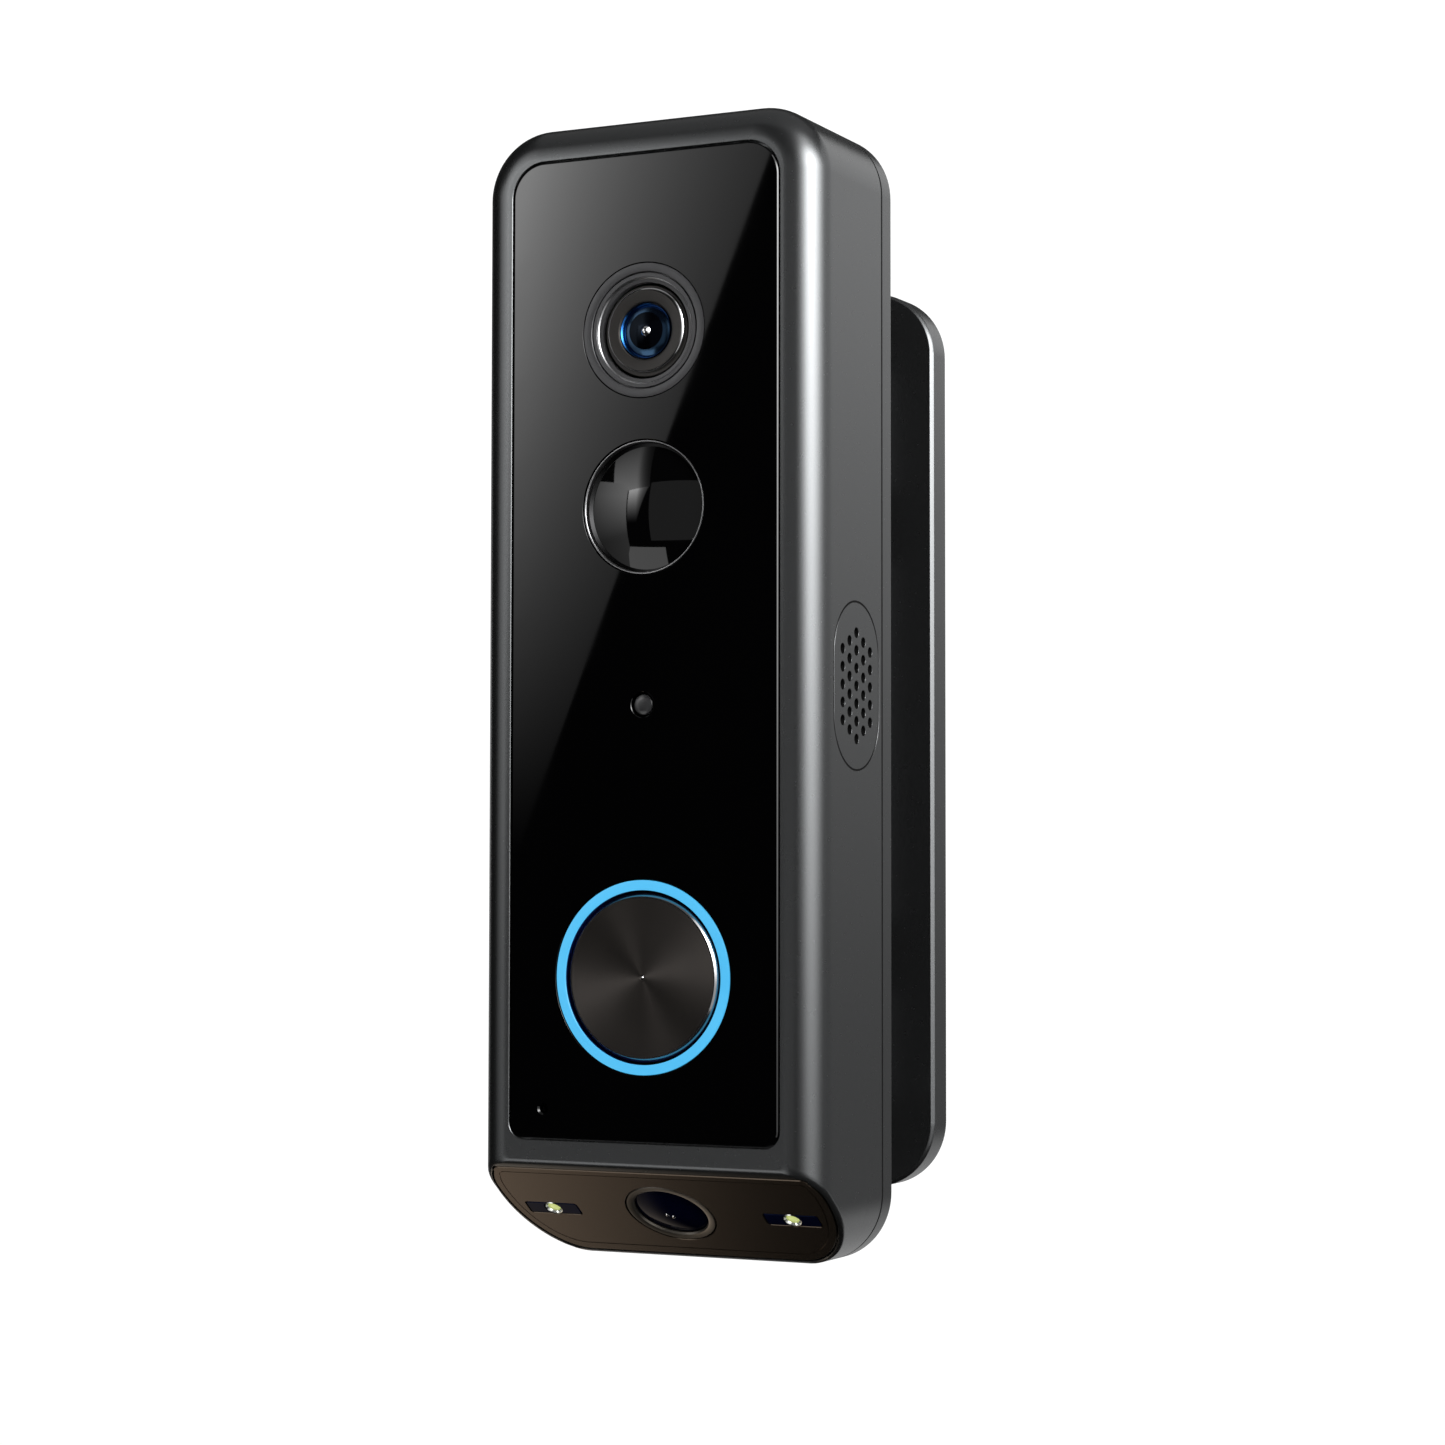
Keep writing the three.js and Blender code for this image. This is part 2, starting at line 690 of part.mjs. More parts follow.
function grilleHoles() {
  const holes = [];
  const middleColumn = (grille.holesPerColumn.length - 1) / 2;
  grille.holesPerColumn.forEach((count, column) => {
    const depth = grille.depth + (column - middleColumn) * grille.holeDepthPitch;
    for (let row = 0; row < count; row += 1) {
      const height = grille.height + (row - (count - 1) / 2) * grille.holeHeightPitch;
      holes.push(circle(depth, height, grille.holeRadius, 8));
    }
  });
  return holes;
}

function speakerParts() {
  place(
    'speaker_grille', slab(grilleOutline(GAP), 0, grille.thickness, grilleHoles()), graphite, sideFrame,
  );
  const halfWidth = 6.2;
  const halfHeight = 10;
  const rim = 1;
  const outer = stadium(grille.depth, grille.height, halfWidth, halfHeight);
  const inner = stadium(grille.depth, grille.height, halfWidth - rim, halfHeight - rim);
  const gasketFront = body.wall + GAP;
  place('speaker_gasket', slab(outer, gasketFront, gasketFront + 1, [inner]), silicone, sideFrame);

  const front = gasketFront + 1 + GAP;
  const frameBack = front + 3.8;
  const magnetBack = frameBack + 3;
  const frame = solid(slab(outer, front, frameBack));
  const conePocket = solid(slab(inner, front - 1, front + 1));
  const magnet = solid(disc(grille.depth, grille.height, 5, frameBack - 0.2, magnetBack, MEDIUM_ROUND));
  place('speaker', geometryOf(join(cut(frame, conePocket), magnet)), darkPlastic, sideFrame);
}

speakerParts();

// ---------------------------------------------------------------- back cover, seal, port and screws

function hookPocket(height, margin, front) {
  const top = height + bracket.hookThickness + bracket.hookRise + 2 * bracket.clear;
  const bottom = height - bracket.hookDrop;
  const half = bracket.hookHalfWidth + bracket.clear + margin;
  return solid(box(-half, half, front - margin, cover.floor + 0.4, bottom - margin, top + margin));
}

function hookMouth(height) {
  const half = bracket.hookHalfWidth + bracket.clear;
  const top = height + bracket.hookThickness + bracket.clear;
  return solid(box(-half, half, cover.floor - 0.6, body.depth + 1, height - bracket.hookDrop, top));
}

function backCover() {
  const edge = 0.5;
  const front = body.seamDepth + body.seamGap / 2;
  const blank = solid(stack([
    { depth: front, outline: bodyOutline(0) },
    { depth: body.depth - edge, outline: bodyOutline(0) },
    { depth: body.depth, outline: bodyOutline(edge) },
  ]));
  const hollow = solid(slab(bodyOutline(body.wall), front - 1, cover.floor));
  const pocketFront = 18.8;
  const pocketWall = 1.1;
  const shells = bracket.hookHeights.map((height) => hookPocket(height, pocketWall, pocketFront));
  const pockets = bracket.hookHeights.map((height) => hookPocket(height, 0, pocketFront));
  const mouths = bracket.hookHeights.map((height) => hookMouth(height));
  const headBore = 2.5;
  const shankBore = 1.4;
  const socketBore = stadium(0, 0, 2.1, 5).map((point) => new THREE.Vector2(
    port.socketX + point.y, port.socketHeight + point.x,
  )).reverse();
  return cut(
    join(cut(blank, hollow), ...shells),
    ...pockets,
    ...mouths,
    ...screwPosts(headBore, cover.boreDepth, body.depth + 1),
    ...screwPosts(shankBore, body.seamDepth, body.depth + 1),
    solid(box(-port.halfWidth, port.halfWidth, port.recess, body.depth + 1, port.bottom, port.top)),
    solid(slab(socketBore, cover.floor - 1, body.depth)),
    solid(disc(port.resetX, port.socketHeight, 1.9, cover.floor - 1, body.depth, SMALL_ROUND)),
  );
}

// The seal lies against the inside of both shells, across the joint line.
function housingSeal() {
  const clear = body.wall + GAP;
  const width = 1.2;
  const front = 19.4;
  const inner = bodyOutline(clear + width);
  return slab(bodyOutline(clear), front, cover.floor - GAP, [inner]);
}

function coverScrews() {
  let number = 1;
  for (const side of [-1, 1]) {
    for (const height of cover.post.heights) {
      const screw = turned([
        [0, 12], [1.1, 12], [1.1, cover.boreDepth + GAP], [2.2, cover.boreDepth + GAP],
        [2.2, body.depth - 0.1], [0, body.depth - 0.1],
      ], side * cover.post.x, height, SMALL_ROUND);
      place(`cover_screw_${number}`, screw, steel);
      number += 1;
    }
  }
}

function portParts() {
  const boardBack = port.boardDepth + 1;
  const front = boardBack + GAP;
  const boardHalf = 12;
  place('usb_board', box(
    -boardHalf, boardHalf, port.boardDepth, boardBack, port.boardBottom, port.boardTop,
  ), greenBoard);

  const across = (halfWidth, halfHeight) => stadium(0, 0, halfHeight, halfWidth).map(
    (point) => new THREE.Vector2(port.socketX + point.y, port.socketHeight + point.x),
  ).reverse();
  const socketBack = port.recess - 0.4;
  const shell = solid(slab(across(4.6, 1.7), front, socketBack));
  const hollow = solid(slab(across(4.2, 1.3), front + 2, socketBack + 1));
  const tongue = solid(box(
    port.socketX - 3.3, port.socketX + 3.3, front + 1, socketBack - 1,
    port.socketHeight - 0.35, port.socketHeight + 0.35,
  ));
  place('usb_socket', geometryOf(join(cut(shell, hollow), tongue)), steel);

  const switchHalf = 2;
  const switchBack = 18;
  place('reset_switch', box(
    port.resetX - switchHalf, port.resetX + switchHalf, front, switchBack,
    port.socketHeight - switchHalf, port.socketHeight + switchHalf,
  ), chipBlack);

  const flangeFront = 20.4;
  const reset = turned([
    [0, 18.9], [1.5, 18.9], [1.5, flangeFront], [2.6, flangeFront], [2.6, flangeFront + 1],
    [1.5, flangeFront + 1], [1.5, socketBack], [0, socketBack],
  ], port.resetX, port.socketHeight, SMALL_ROUND);
  place('reset_button', reset, darkPlastic);
}

// The flap's lower edge is rounded about the line it turns on.
function portCover() {
  const half = 0.42;
  const middle = port.recess + GAP + half;
  const hingeHeight = port.bottom + GAP + half;
  const outline = [];
  const steps = 6;
  for (let step = 0; step <= steps; step += 1) {
    const angle = Math.PI + (Math.PI * step) / steps;
    outline.push(new THREE.Vector2(middle + half * Math.cos(angle), hingeHeight + half * Math.sin(angle)));
  }
  outline.push(new THREE.Vector2(middle + half, port.top - GAP));
  outline.push(new THREE.Vector2(middle - half, port.top - GAP));
  return sidewaysSlab(outline, port.halfWidth - GAP);
}

place('housing_seal', housingSeal(), silicone);
place('back_cover', geometryOf(backCover()), graphite);
coverScrews();
portParts();
place('port_cover', portCover(), silicone);

// ---------------------------------------------------------------- bracket

function bracketOutline(inset) {
  return symmetricRectangle(
    bracket.halfWidth - inset, bracket.bottom + inset, bracket.top - inset, bracket.radius - inset,
  );
}

function blockScrewSpots() {
  const spots = [];
  for (const side of [-1, 1]) {
    for (const end of [-1, 1]) {
      spots.push({ x: side * bracket.blockScrew.x, z: bracketMiddle + end * bracket.blockScrew.offset });
    }
  }
  return spots;
}

function wallHoleHeights() {
  return [bracketMiddle - bracket.wallHoleOffset, bracketMiddle + bracket.wallHoleOffset];
}

function wallPlate() {
  const blank = solid(stack([
    { depth: bracket.front, outline: bracketOutline(bracket.bevel) },
    { depth: bracket.front + bracket.bevel, outline: bracketOutline(0) },
    { depth: bracket.back, outline: bracketOutline(0) },
  ]));
  const { headDepth, headBore, shankBore } = bracket.blockScrew;
  const holes = wallHoleHeights().map((height) => solid(
    disc(0, height, bracket.wallHoleRadius, bracket.front - 1, bracket.back + 1, SMALL_ROUND),
  ));
  for (const { x, z } of blockScrewSpots()) {
    holes.push(solid(disc(x, z, shankBore, bracket.front - 1, bracket.back + 1, SMALL_ROUND)));
    holes.push(solid(disc(x, z, headBore, bracket.back - headDepth, bracket.back + 1, SMALL_ROUND)));
  }
  return cut(blank, ...holes);
}

function hook(height) {
  const blockFront = body.depth + bracket.clear;
  const tipBack = cover.floor - bracket.clear;
  const tipFront = tipBack - bracket.hookTip;
  const neckTop = height + bracket.hookThickness;
  const outline = [
    new THREE.Vector2(tipFront, height),
    new THREE.Vector2(blockFront + 0.5, height),
    new THREE.Vector2(blockFront + 0.5, neckTop),
    new THREE.Vector2(tipBack, neckTop),
    new THREE.Vector2(tipBack, neckTop + bracket.hookRise),
    new THREE.Vector2(tipFront + 0.6, neckTop + bracket.hookRise),
    new THREE.Vector2(tipFront, neckTop + bracket.hookRise - 1),
  ];
  return solid(sidewaysSlab(outline, bracket.hookHalfWidth));
}

// The block carries the hooks. Two channels across it leave room for the heads of the wall screws.
function mountBlock() {
  const front = body.depth + bracket.clear;
  const back = bracket.front - GAP;
  const edge = 0.6;
  const outline = (inset) => symmetricRectangle(
    bracket.blockHalfWidth - inset, bracket.blockBottom + inset, bracket.blockTop - inset,
    bracket.blockRadius - inset,
  );
  const blank = solid(stack([
    { depth: front, outline: outline(edge) },
    { depth: front + edge, outline: outline(0) },
    { depth: back, outline: outline(0) },
  ]));
  const reach = bracket.blockHalfWidth + 1;
  const channels = wallHoleHeights().map((height) => solid(box(
    -reach, reach, front - 1, back - bracket.channelWeb,
    height - bracket.channelHalf, height + bracket.channelHalf,
  )));
  const wallHoles = wallHoleHeights().map((height) => solid(
    disc(0, height, bracket.wallHoleRadius, front - 1, back + 1, SMALL_ROUND),
  ));
  const screwHoles = blockScrewSpots().map(({ x, z }) => solid(
    disc(x, z, 1.4, front + bracket.blockScrew.length, back + 1, SMALL_ROUND),
  ));
  const hooks = bracket.hookHeights.map((height) => hook(height));
  return cut(join(blank, ...hooks), ...channels, ...wallHoles, ...screwHoles);
}

function blockScrews() {
  const headFront = bracket.back - bracket.blockScrew.headDepth + GAP;
  const headBack = bracket.back - 0.2;
  const tip = body.depth + bracket.clear + bracket.blockScrew.length + 0.6;
  blockScrewSpots().forEach(({ x, z }, number) => {
    const screw = turned([
      [0, tip], [1.1, tip], [1.1, headFront], [2.8, headFront], [2.8, headBack], [0, headBack],
    ], x, z, SMALL_ROUND);
    place(`block_screw_${number + 1}`, screw, steel);
  });
}

place('wall_plate', geometryOf(wallPlate()), graphite);
place('mount_block', geometryOf(mountBlock()), darkPlastic);
blockScrews();

export default part;
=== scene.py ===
"""Looks of the video doorbell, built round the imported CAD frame.

Blender works in metres. Shapes are given in millimetres in local frames, and each frame's matrix scales
them to metres: in the body frame X runs right, Y runs back from the front glass and Z runs up from the
body's lowest edge.
"""

import json
import math

import bmesh
import bpy
from mathutils import Matrix, Vector

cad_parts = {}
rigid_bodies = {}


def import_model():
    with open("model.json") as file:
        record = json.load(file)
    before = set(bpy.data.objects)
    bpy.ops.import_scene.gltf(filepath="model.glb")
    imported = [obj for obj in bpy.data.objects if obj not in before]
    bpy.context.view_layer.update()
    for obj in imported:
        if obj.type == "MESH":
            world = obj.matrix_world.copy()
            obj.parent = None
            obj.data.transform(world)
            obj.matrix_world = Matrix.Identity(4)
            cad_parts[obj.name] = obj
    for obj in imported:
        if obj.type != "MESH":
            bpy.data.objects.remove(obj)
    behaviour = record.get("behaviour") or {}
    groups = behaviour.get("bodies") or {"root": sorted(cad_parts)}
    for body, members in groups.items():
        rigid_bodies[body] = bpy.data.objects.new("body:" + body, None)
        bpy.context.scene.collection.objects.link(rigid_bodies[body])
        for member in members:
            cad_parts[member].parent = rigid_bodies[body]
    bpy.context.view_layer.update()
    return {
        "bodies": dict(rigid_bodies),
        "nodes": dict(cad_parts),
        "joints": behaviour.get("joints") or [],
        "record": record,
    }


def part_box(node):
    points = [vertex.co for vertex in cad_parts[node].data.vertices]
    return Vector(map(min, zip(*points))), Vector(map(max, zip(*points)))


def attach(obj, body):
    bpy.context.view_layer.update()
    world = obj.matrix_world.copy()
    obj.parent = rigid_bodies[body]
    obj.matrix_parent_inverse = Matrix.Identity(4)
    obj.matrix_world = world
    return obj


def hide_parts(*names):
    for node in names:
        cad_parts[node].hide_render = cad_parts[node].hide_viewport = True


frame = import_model()

# ---- frames and driving dimensions

MM = 0.001

housing_low, housing_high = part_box("front_housing")
cover_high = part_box("back_cover")[1]
BODY = Matrix.Translation((0, housing_low.y, housing_low.z)) @ Matrix.Scale(MM, 4)


def in_body(point):
    """A point of the CAD frame in the body frame's millimetres."""
    return BODY.inverted() @ point


def box_in_body(node):
    low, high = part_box(node)
    return in_body(low), in_body(high)


def spot_of(node):
    """X, Z and radius of a round node that faces forwards, in the body frame."""
    low, high = box_in_body(node)
    return (low.x + high.x) / 2, (low.z + high.z) / 2, (high.x - low.x) / 2


HALF_WIDTH = in_body(housing_high).x
HEIGHT = in_body(housing_high).z
SEAM = in_body(housing_high).y
COVER_FRONT = SEAM + 0.4     # the cover starts a fine seam behind the housing
DEPTH = in_body(cover_high).y
CORNER = 9.1                 # radius of the body's outline
FRONT_ROUNDING = 4.65        # radius of the edge round the front face
WALL = 2.0

CHIN_SLANT = math.radians(38)
CREASE_DEPTH = 0.5
CREASE_HEIGHT = 12.7
CREASE_ROUNDING = 1.2
CHIN_FILLET = 0.9
SEAM_EDGE = 0.025            # chamfer on both sides of the seam

CHIN_IN_BODY = (
    Matrix.Translation((0, CREASE_DEPTH, CREASE_HEIGHT))
    @ Matrix.Rotation(math.pi / 2 - CHIN_SLANT, 4, "X")
)
SIDE_IN_BODY = Matrix.Translation((HALF_WIDTH, 0, 0)) @ Matrix.Rotation(math.pi / 2, 4, "Z")
CHIN = BODY @ CHIN_IN_BODY
SIDE = BODY @ SIDE_IN_BODY

LOWER_CAMERA_Z = -10.0       # the camera's and the lights' places are in the chin's plane
LIGHT_X, LIGHT_Z = 17.5, -10.1
LIGHT_HALF_LENGTH = 3.8
LIGHT_HALF_HEIGHT = 1.2
LIGHT_CUP = 1.36             # radius of the reflector round each chin light

ROUND_STEPS = 128            # facets round a large circle
SMALL_STEPS = 48             # facets round a small circle
CAP_STEPS = 160              # facets round the button's face
FINE_STEPS = 28              # facets round a grille hole, or down a dome
TINY_STEPS = 24              # facets round a tiny piece, or in a half circle
CORNER_STEPS = 20            # facets in a quarter-round corner
SAME_POINT = 1e-4            # points closer than this are joined
FLARE_REACH = 0.3            # how far a cutter reaches out past the surface that it cuts
HOLE_DEPTH = 2.0             # how deep a cutter from the front goes

# ---- mesh building


def arc(x, z, radius, start, end, steps):
    """Points of an arc in degrees, both ends included."""
    points = []
    for i in range(steps + 1):
        angle = math.radians(start + (end - start) * i / steps)
        points.append((x + radius * math.cos(angle), z + radius * math.sin(angle)))
    return points


def rounded(left, right, bottom, top, radius, bottom_radius=None, steps=CORNER_STEPS):
    """Outline of a rectangle with round corners, anticlockwise seen from the front."""
    low = radius if bottom_radius is None else bottom_radius
    return (
        arc(right - low, bottom + low, low, -90, 0, steps)
        + arc(right - radius, top - radius, radius, 0, 90, steps)
        + arc(left + radius, top - radius, radius, 90, 180, steps)
        + arc(left + low, bottom + low, low, 180, 270, steps)
    )


def grown(low, high, margin, radius, bottom_radius=None):
    """Outline with round corners that stands off by a margin from a box in the body frame."""
    low_radius = radius if bottom_radius is None else bottom_radius
    return rounded(
        low.x - margin, high.x + margin, low.z - margin, high.z + margin,
        radius + margin, low_radius + margin,
    )


def oblong(x, z, half_width, half_height):
    """Outline of an upright oblong with half-circle ends."""
    straight = half_height - half_width
    upper = arc(x, z + straight, half_width, 0, 180, TINY_STEPS)
    return upper + arc(x, z - straight, half_width, 180, 360, TINY_STEPS)


def mesh_object(name, vertices, faces):
    mesh = bpy.data.meshes.new(name)
    mesh.from_pydata(vertices, [], faces)
    mesh.update()
    piece = bpy.data.objects.new(name, mesh)
    bpy.context.scene.collection.objects.link(piece)
    return piece


def loft(name, sections):
    """A closed solid through (depth, outline) sections, which all have the same number of points."""
    count = len(sections[0][1])
    vertices = [(x, depth, z) for depth, outline in sections for x, z in outline]
    last = (len(sections) - 1) * count
    faces = [list(range(count)), [last + i for i in reversed(range(count))]]
    for row in range(len(sections) - 1):
        for i in range(count):
            a = row * count + i
            b = row * count + (i + 1) % count
            faces.append([a, a + count, b + count, b])
    return mesh_object(name, vertices, faces)


def turned(name, profile, x, z, steps=ROUND_STEPS):
    """A profile of (radius, depth) pairs turned about the depth axis through (x, z). It runs from axis
    to axis, or it closes on itself."""
    vertices = []
    rings = []
    for radius, depth in profile:
        if radius == 0:
            rings.append([len(vertices)] * steps)
            vertices.append((x, depth, z))
            continue
        rings.append([len(vertices) + i for i in range(steps)])
        vertices += [(px, depth, pz) for px, pz in arc(x, z, radius, 0, 360, steps)[:-1]]
    if profile[0][0] > 0:
        rings.append(rings[0])
    faces = []
    for ring, following in zip(rings, rings[1:]):
        for i in range(steps):
            j = (i + 1) % steps
            corners = [ring[j], ring[i], following[i], following[j]]
            faces.append([v for k, v in enumerate(corners) if v not in corners[:k]])
    piece = mesh_object(name, vertices, faces)
    outward(piece)
    return piece


def outward(piece):
    """Turns every face of a closed mesh outwards."""
    shape = bmesh.new()
    shape.from_mesh(piece.data)
    bmesh.ops.recalc_face_normals(shape, faces=shape.faces)
    shape.to_mesh(piece.data)
    shape.free()


def block(low, high):
    """A box between two corners, for cutting and joining."""
    (x0, y0, z0), (x1, y1, z1) = low, high
    outline = [(x0, z0), (x1, z0), (x1, z1), (x0, z1)]
    return prism(outline, y0, y1)


def prism(outline, front, back, name="prism"):
    """A straight solid between two depths."""
    return loft(name, [(front, outline), (back, outline)])


def moved(piece, matrix):
    """The piece's mesh carried from its own frame into the body's."""
    piece.data.transform(matrix)
    return piece


def combine(piece, others, operation="DIFFERENCE"):
    """Cuts the other solids out of the piece, or joins them to it, and deletes them."""
    for other in others:
        outward(other)
        step = piece.modifiers.new("combine", "BOOLEAN")
        step.operation = operation
        step.solver = "EXACT"
        step.object = other
    bpy.context.view_layer.update()
    result = piece.evaluated_get(bpy.context.evaluated_depsgraph_get())
    mesh = bpy.data.meshes.new_from_object(result)
    piece.modifiers.clear()
    piece.data = mesh
    for other in others:
        bpy.data.objects.remove(other)
    return piece


def band(name, outside, inside, front, back):
    """A closed band between two outlines."""
    return combine(prism(outside, front, back, name), [prism(inside, front - 1, back + 1)])


def merged(name, pieces):
    """One object that holds several separate solids."""
    shape = bmesh.new()
    for piece in pieces:
        shape.from_mesh(piece.data)
        bpy.data.objects.remove(piece)
    whole = mesh_object(name, [], [])
    shape.to_mesh(whole.data)
    shape.free()
    return whole


def pocket(outline, depth, edge):
    """A cutter for a recess from depth 0, flared at the surface so that the recess has a fine chamfer.
    outline gives the outline at a margin."""
    flare = outline(edge + FLARE_REACH)
    return loft("pocket", [(-FLARE_REACH, flare), (edge, outline(0)), (depth, outline(0))])


def hole(x, z, radius, edge, steps=ROUND_STEPS):
    """A round cutter from depth 0, flared at the surface."""
    flare = radius + edge + FLARE_REACH
    return turned("hole", [
        (0, -FLARE_REACH), (flare, -FLARE_REACH), (radius, edge), (radius, HOLE_DEPTH), (0, HOLE_DEPTH),
    ], x, z, steps)


def rear_hole(x, z, radius, bottom, surface, edge):
    """A round cutter into a rear face, from that face in to a smaller depth."""
    reach = surface + FLARE_REACH
    flare = radius + edge + FLARE_REACH
    return turned("rear_hole", [
        (0, bottom), (radius, bottom), (radius, surface - edge), (flare, reach), (0, reach),
    ], x, z, SMALL_STEPS)


def plug(name, outline, back, edge):
    """A plate that fills an outline, with a fine chamfer round its front face. outline gives the outline
    at a margin."""
    return loft(name, [(0.0, outline(-edge)), (edge, outline(0)), (back, outline(0))])


def rear_edge(outline, surface, rounding, steps):
    """Sections that round a rear edge. outline gives the outline at an inset."""
    sections = []
    for i in range(steps + 1):
        angle = math.pi / 2 * i / steps
        inset = rounding * (1 - math.cos(angle))
        sections.append((surface - rounding * (1 - math.sin(angle)), outline(inset)))
    return sections


def dress(piece, look, node=None, body="doorbell", sharp=35, frame=BODY):
    """Places a finished piece in metres, with crisp smooth shading and its material.
    Creases sharper than the angle sharp stay sharp. node is the CAD node that the piece replaces."""
    mesh = piece.data
    shape = bmesh.new()
    shape.from_mesh(mesh)
    bmesh.ops.dissolve_degenerate(shape, edges=shape.edges, dist=SAME_POINT)
    shape.to_mesh(mesh)
    shape.free()
    mesh.transform(frame)
    mesh.polygons.foreach_set("use_smooth", [True] * len(mesh.polygons))
    mesh.set_sharp_from_angle(angle=math.radians(sharp))
    normals = piece.modifiers.new("normals", "WEIGHTED_NORMAL")
    normals.keep_sharp = True
    mesh.materials.clear()
    mesh.materials.append(look.material)
    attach(piece, body)
    if node:
        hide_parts(node)


# ---- materials


NOISE_LOW, NOISE_HIGH = 0.3, 0.7     # the part of a noise's range that the looks use
TONE_SCALE, GLOSS_SCALE = 900, 1300  # patches of tone and of gloss per metre on moulded pieces


def put(tree, socket, value):
    """Sets a socket to a value, or links it from another node's output."""
    if isinstance(value, bpy.types.NodeSocket):
        tree.links.new(value, socket)
    else:
        socket.default_value = value


def add_node(tree, kind, **inputs):
    """A new node with its inputs put in place. Their names have _ for a space."""
    node = tree.nodes.new(kind)
    for name, value in inputs.items():
        put(tree, node.inputs[name.replace("_", " ")], value)
    return node


class Look:
    """A Principled material with helpers for the nodes that vary it over the surface."""

    def __init__(self, name, color, roughness, metallic=0.0, **inputs):
        self.material = bpy.data.materials.new(name)
        self.material.use_nodes = True
        self.tree = self.material.node_tree
        self.color = color
        self.roughness = roughness
        self.set(Base_Color=(*color, 1), Roughness=roughness, Metallic=metallic, **inputs)
        self.position = add_node(self.tree, "ShaderNodeTexCoord").outputs["Object"]

    def set(self, **inputs):
        shader = self.tree.nodes["Principled BSDF"]
        for name, value in inputs.items():
            put(self.tree, shader.inputs[name.replace("_", " ")], value)

    def noise(self, scale, detail=3.0):
        """A noise value over the surface; scale is in features per metre."""
        texture = add_node(self.tree, "ShaderNodeTexNoise", Vector=self.position, Scale=scale, Detail=detail)
        return texture.outputs["Fac"]

    def ramp(self, value, colors):
        """A colour that goes from the first to the second as the noise value rises."""
        node = add_node(self.tree, "ShaderNodeValToRGB", Fac=value)
        for element, place, color in zip(node.color_ramp.elements, (NOISE_LOW, NOISE_HIGH), colors):
            element.position = place
            element.color = (*color, 1)
        return node.outputs["Color"]

    def vary_color(self, value, amount):
        """The base colour goes from darker to lighter by a share."""
        colors = [[min(1, c * factor) for c in self.color] for factor in (1 - amount, 1 + amount)]
        self.set(Base_Color=self.ramp(value, colors))

    def vary_roughness(self, value, amount):
        span = add_node(
            self.tree, "ShaderNodeMapRange", Value=value, From_Min=NOISE_LOW, From_Max=NOISE_HIGH,
            To_Min=self.roughness - amount, To_Max=self.roughness + amount,
        )
        self.set(Roughness=span.outputs["Result"])

    def bump(self, value, height):
        """Relief whose full height is given in metres."""
        relief = add_node(self.tree, "ShaderNodeBump", Height=value, Distance=height)
        self.set(Normal=relief.outputs["Normal"])


def moulded(name, color, roughness, grain=6000, relief=4e-6, uneven=0.02, **inputs):
    """Moulded plastic, rubber or coated metal: fine grain, with tone and gloss slightly uneven."""
    look = Look(name, color, roughness, **inputs)
    look.vary_color(look.noise(TONE_SCALE), uneven)
    look.vary_roughness(look.noise(GLOSS_SCALE), uneven)
    if relief > 0:
        look.bump(look.noise(grain, 2.0), relief)
    return look


graphite = moulded("graphite_coat", (0.103, 0.106, 0.108), 0.27, metallic=0.93, relief=0, uneven=0.004)
# Dark metallic coat whose brown tint is partly its own tone and partly a painted warm reflection of light
# from below.
coat_with_warm_reflection = moulded("coat_with_warm_reflection", (0.1, 0.077, 0.057), 0.24, metallic=0.9, relief=0, uneven=0.004)
brown_ring = moulded("brown_ring", (0.15, 0.135, 0.115), 0.32, metallic=0.8, grain=9000, relief=1.5e-6)
window_tint = moulded("sensor_window_tint", (0.02, 0.02, 0.021), 0.22, relief=1e-6)
dark_plastic = moulded("dark_plastic", (0.022, 0.022, 0.024), 0.5, relief=8e-6)
deep_blue = moulded("deep_blue", (0.003, 0.01, 0.09), 0.4, relief=1e-6)
silicone = moulded("silicone", (0.018, 0.018, 0.019), 0.72, relief=6e-6)
dark_metal = moulded("dark_metal", (0.045, 0.045, 0.047), 0.36, metallic=0.4, grain=12000, relief=4e-7)
barrel_metal = moulded("barrel_metal", (0.024, 0.022, 0.0205), 0.45, metallic=0.5, grain=12000, relief=4e-7)
polished = moulded("polished_trim", (0.85, 0.85, 0.86), 0.12, metallic=1.0, relief=0, uneven=0.004)
dark_chrome = moulded("dark_chrome", (0.3, 0.3, 0.305), 0.16, metallic=1.0, relief=0, uneven=0.004)
blue_coat = moulded("blue_lens_coat", (0.02, 0.11, 0.34), 0.2, metallic=1.0, relief=0, uneven=0.01)
# Near-black with almost no reflection: painted shade in the seam, the grille gap and the grille holes.
painted_shade_black = moulded("painted_shade_black", (0.003, 0.003, 0.003), 0.85, Specular_IOR_Level=0.1)
ring_metal = moulded("ring_metal", (0.3, 0.3, 0.305), 0.3, metallic=1.0, relief=0, uneven=0.004)
steel = moulded("steel", (0.45, 0.45, 0.46), 0.3, metallic=1.0, grain=4000, relief=1e-6)
white_plastic = moulded("white_plastic", (0.75, 0.74, 0.7), 0.45)
chip_black = moulded("chip_black", (0.02, 0.02, 0.022), 0.45)
board_green = moulded("board_green", (0.02, 0.12, 0.06), 0.4, relief=1.2e-5)
battery_blue = moulded("battery_blue", (0.03, 0.1, 0.33), 0.3, relief=1.5e-5, grain=900)
copper = moulded("copper", (0.6, 0.28, 0.12), 0.35, metallic=0.9)
wire_red = moulded("wire_red", (0.4, 0.02, 0.02), 0.45)


def glassy(name, color, roughness, gloss_scale, gloss, tone_scale, tone, index=1.5, detail=3.0):
    """Smooth glass or lacquer. gloss and tone are the amounts of its unevenness."""
    look = Look(name, color, roughness, IOR=index)
    look.vary_roughness(look.noise(gloss_scale, detail), gloss)
    look.vary_color(look.noise(tone_scale), tone)
    return look


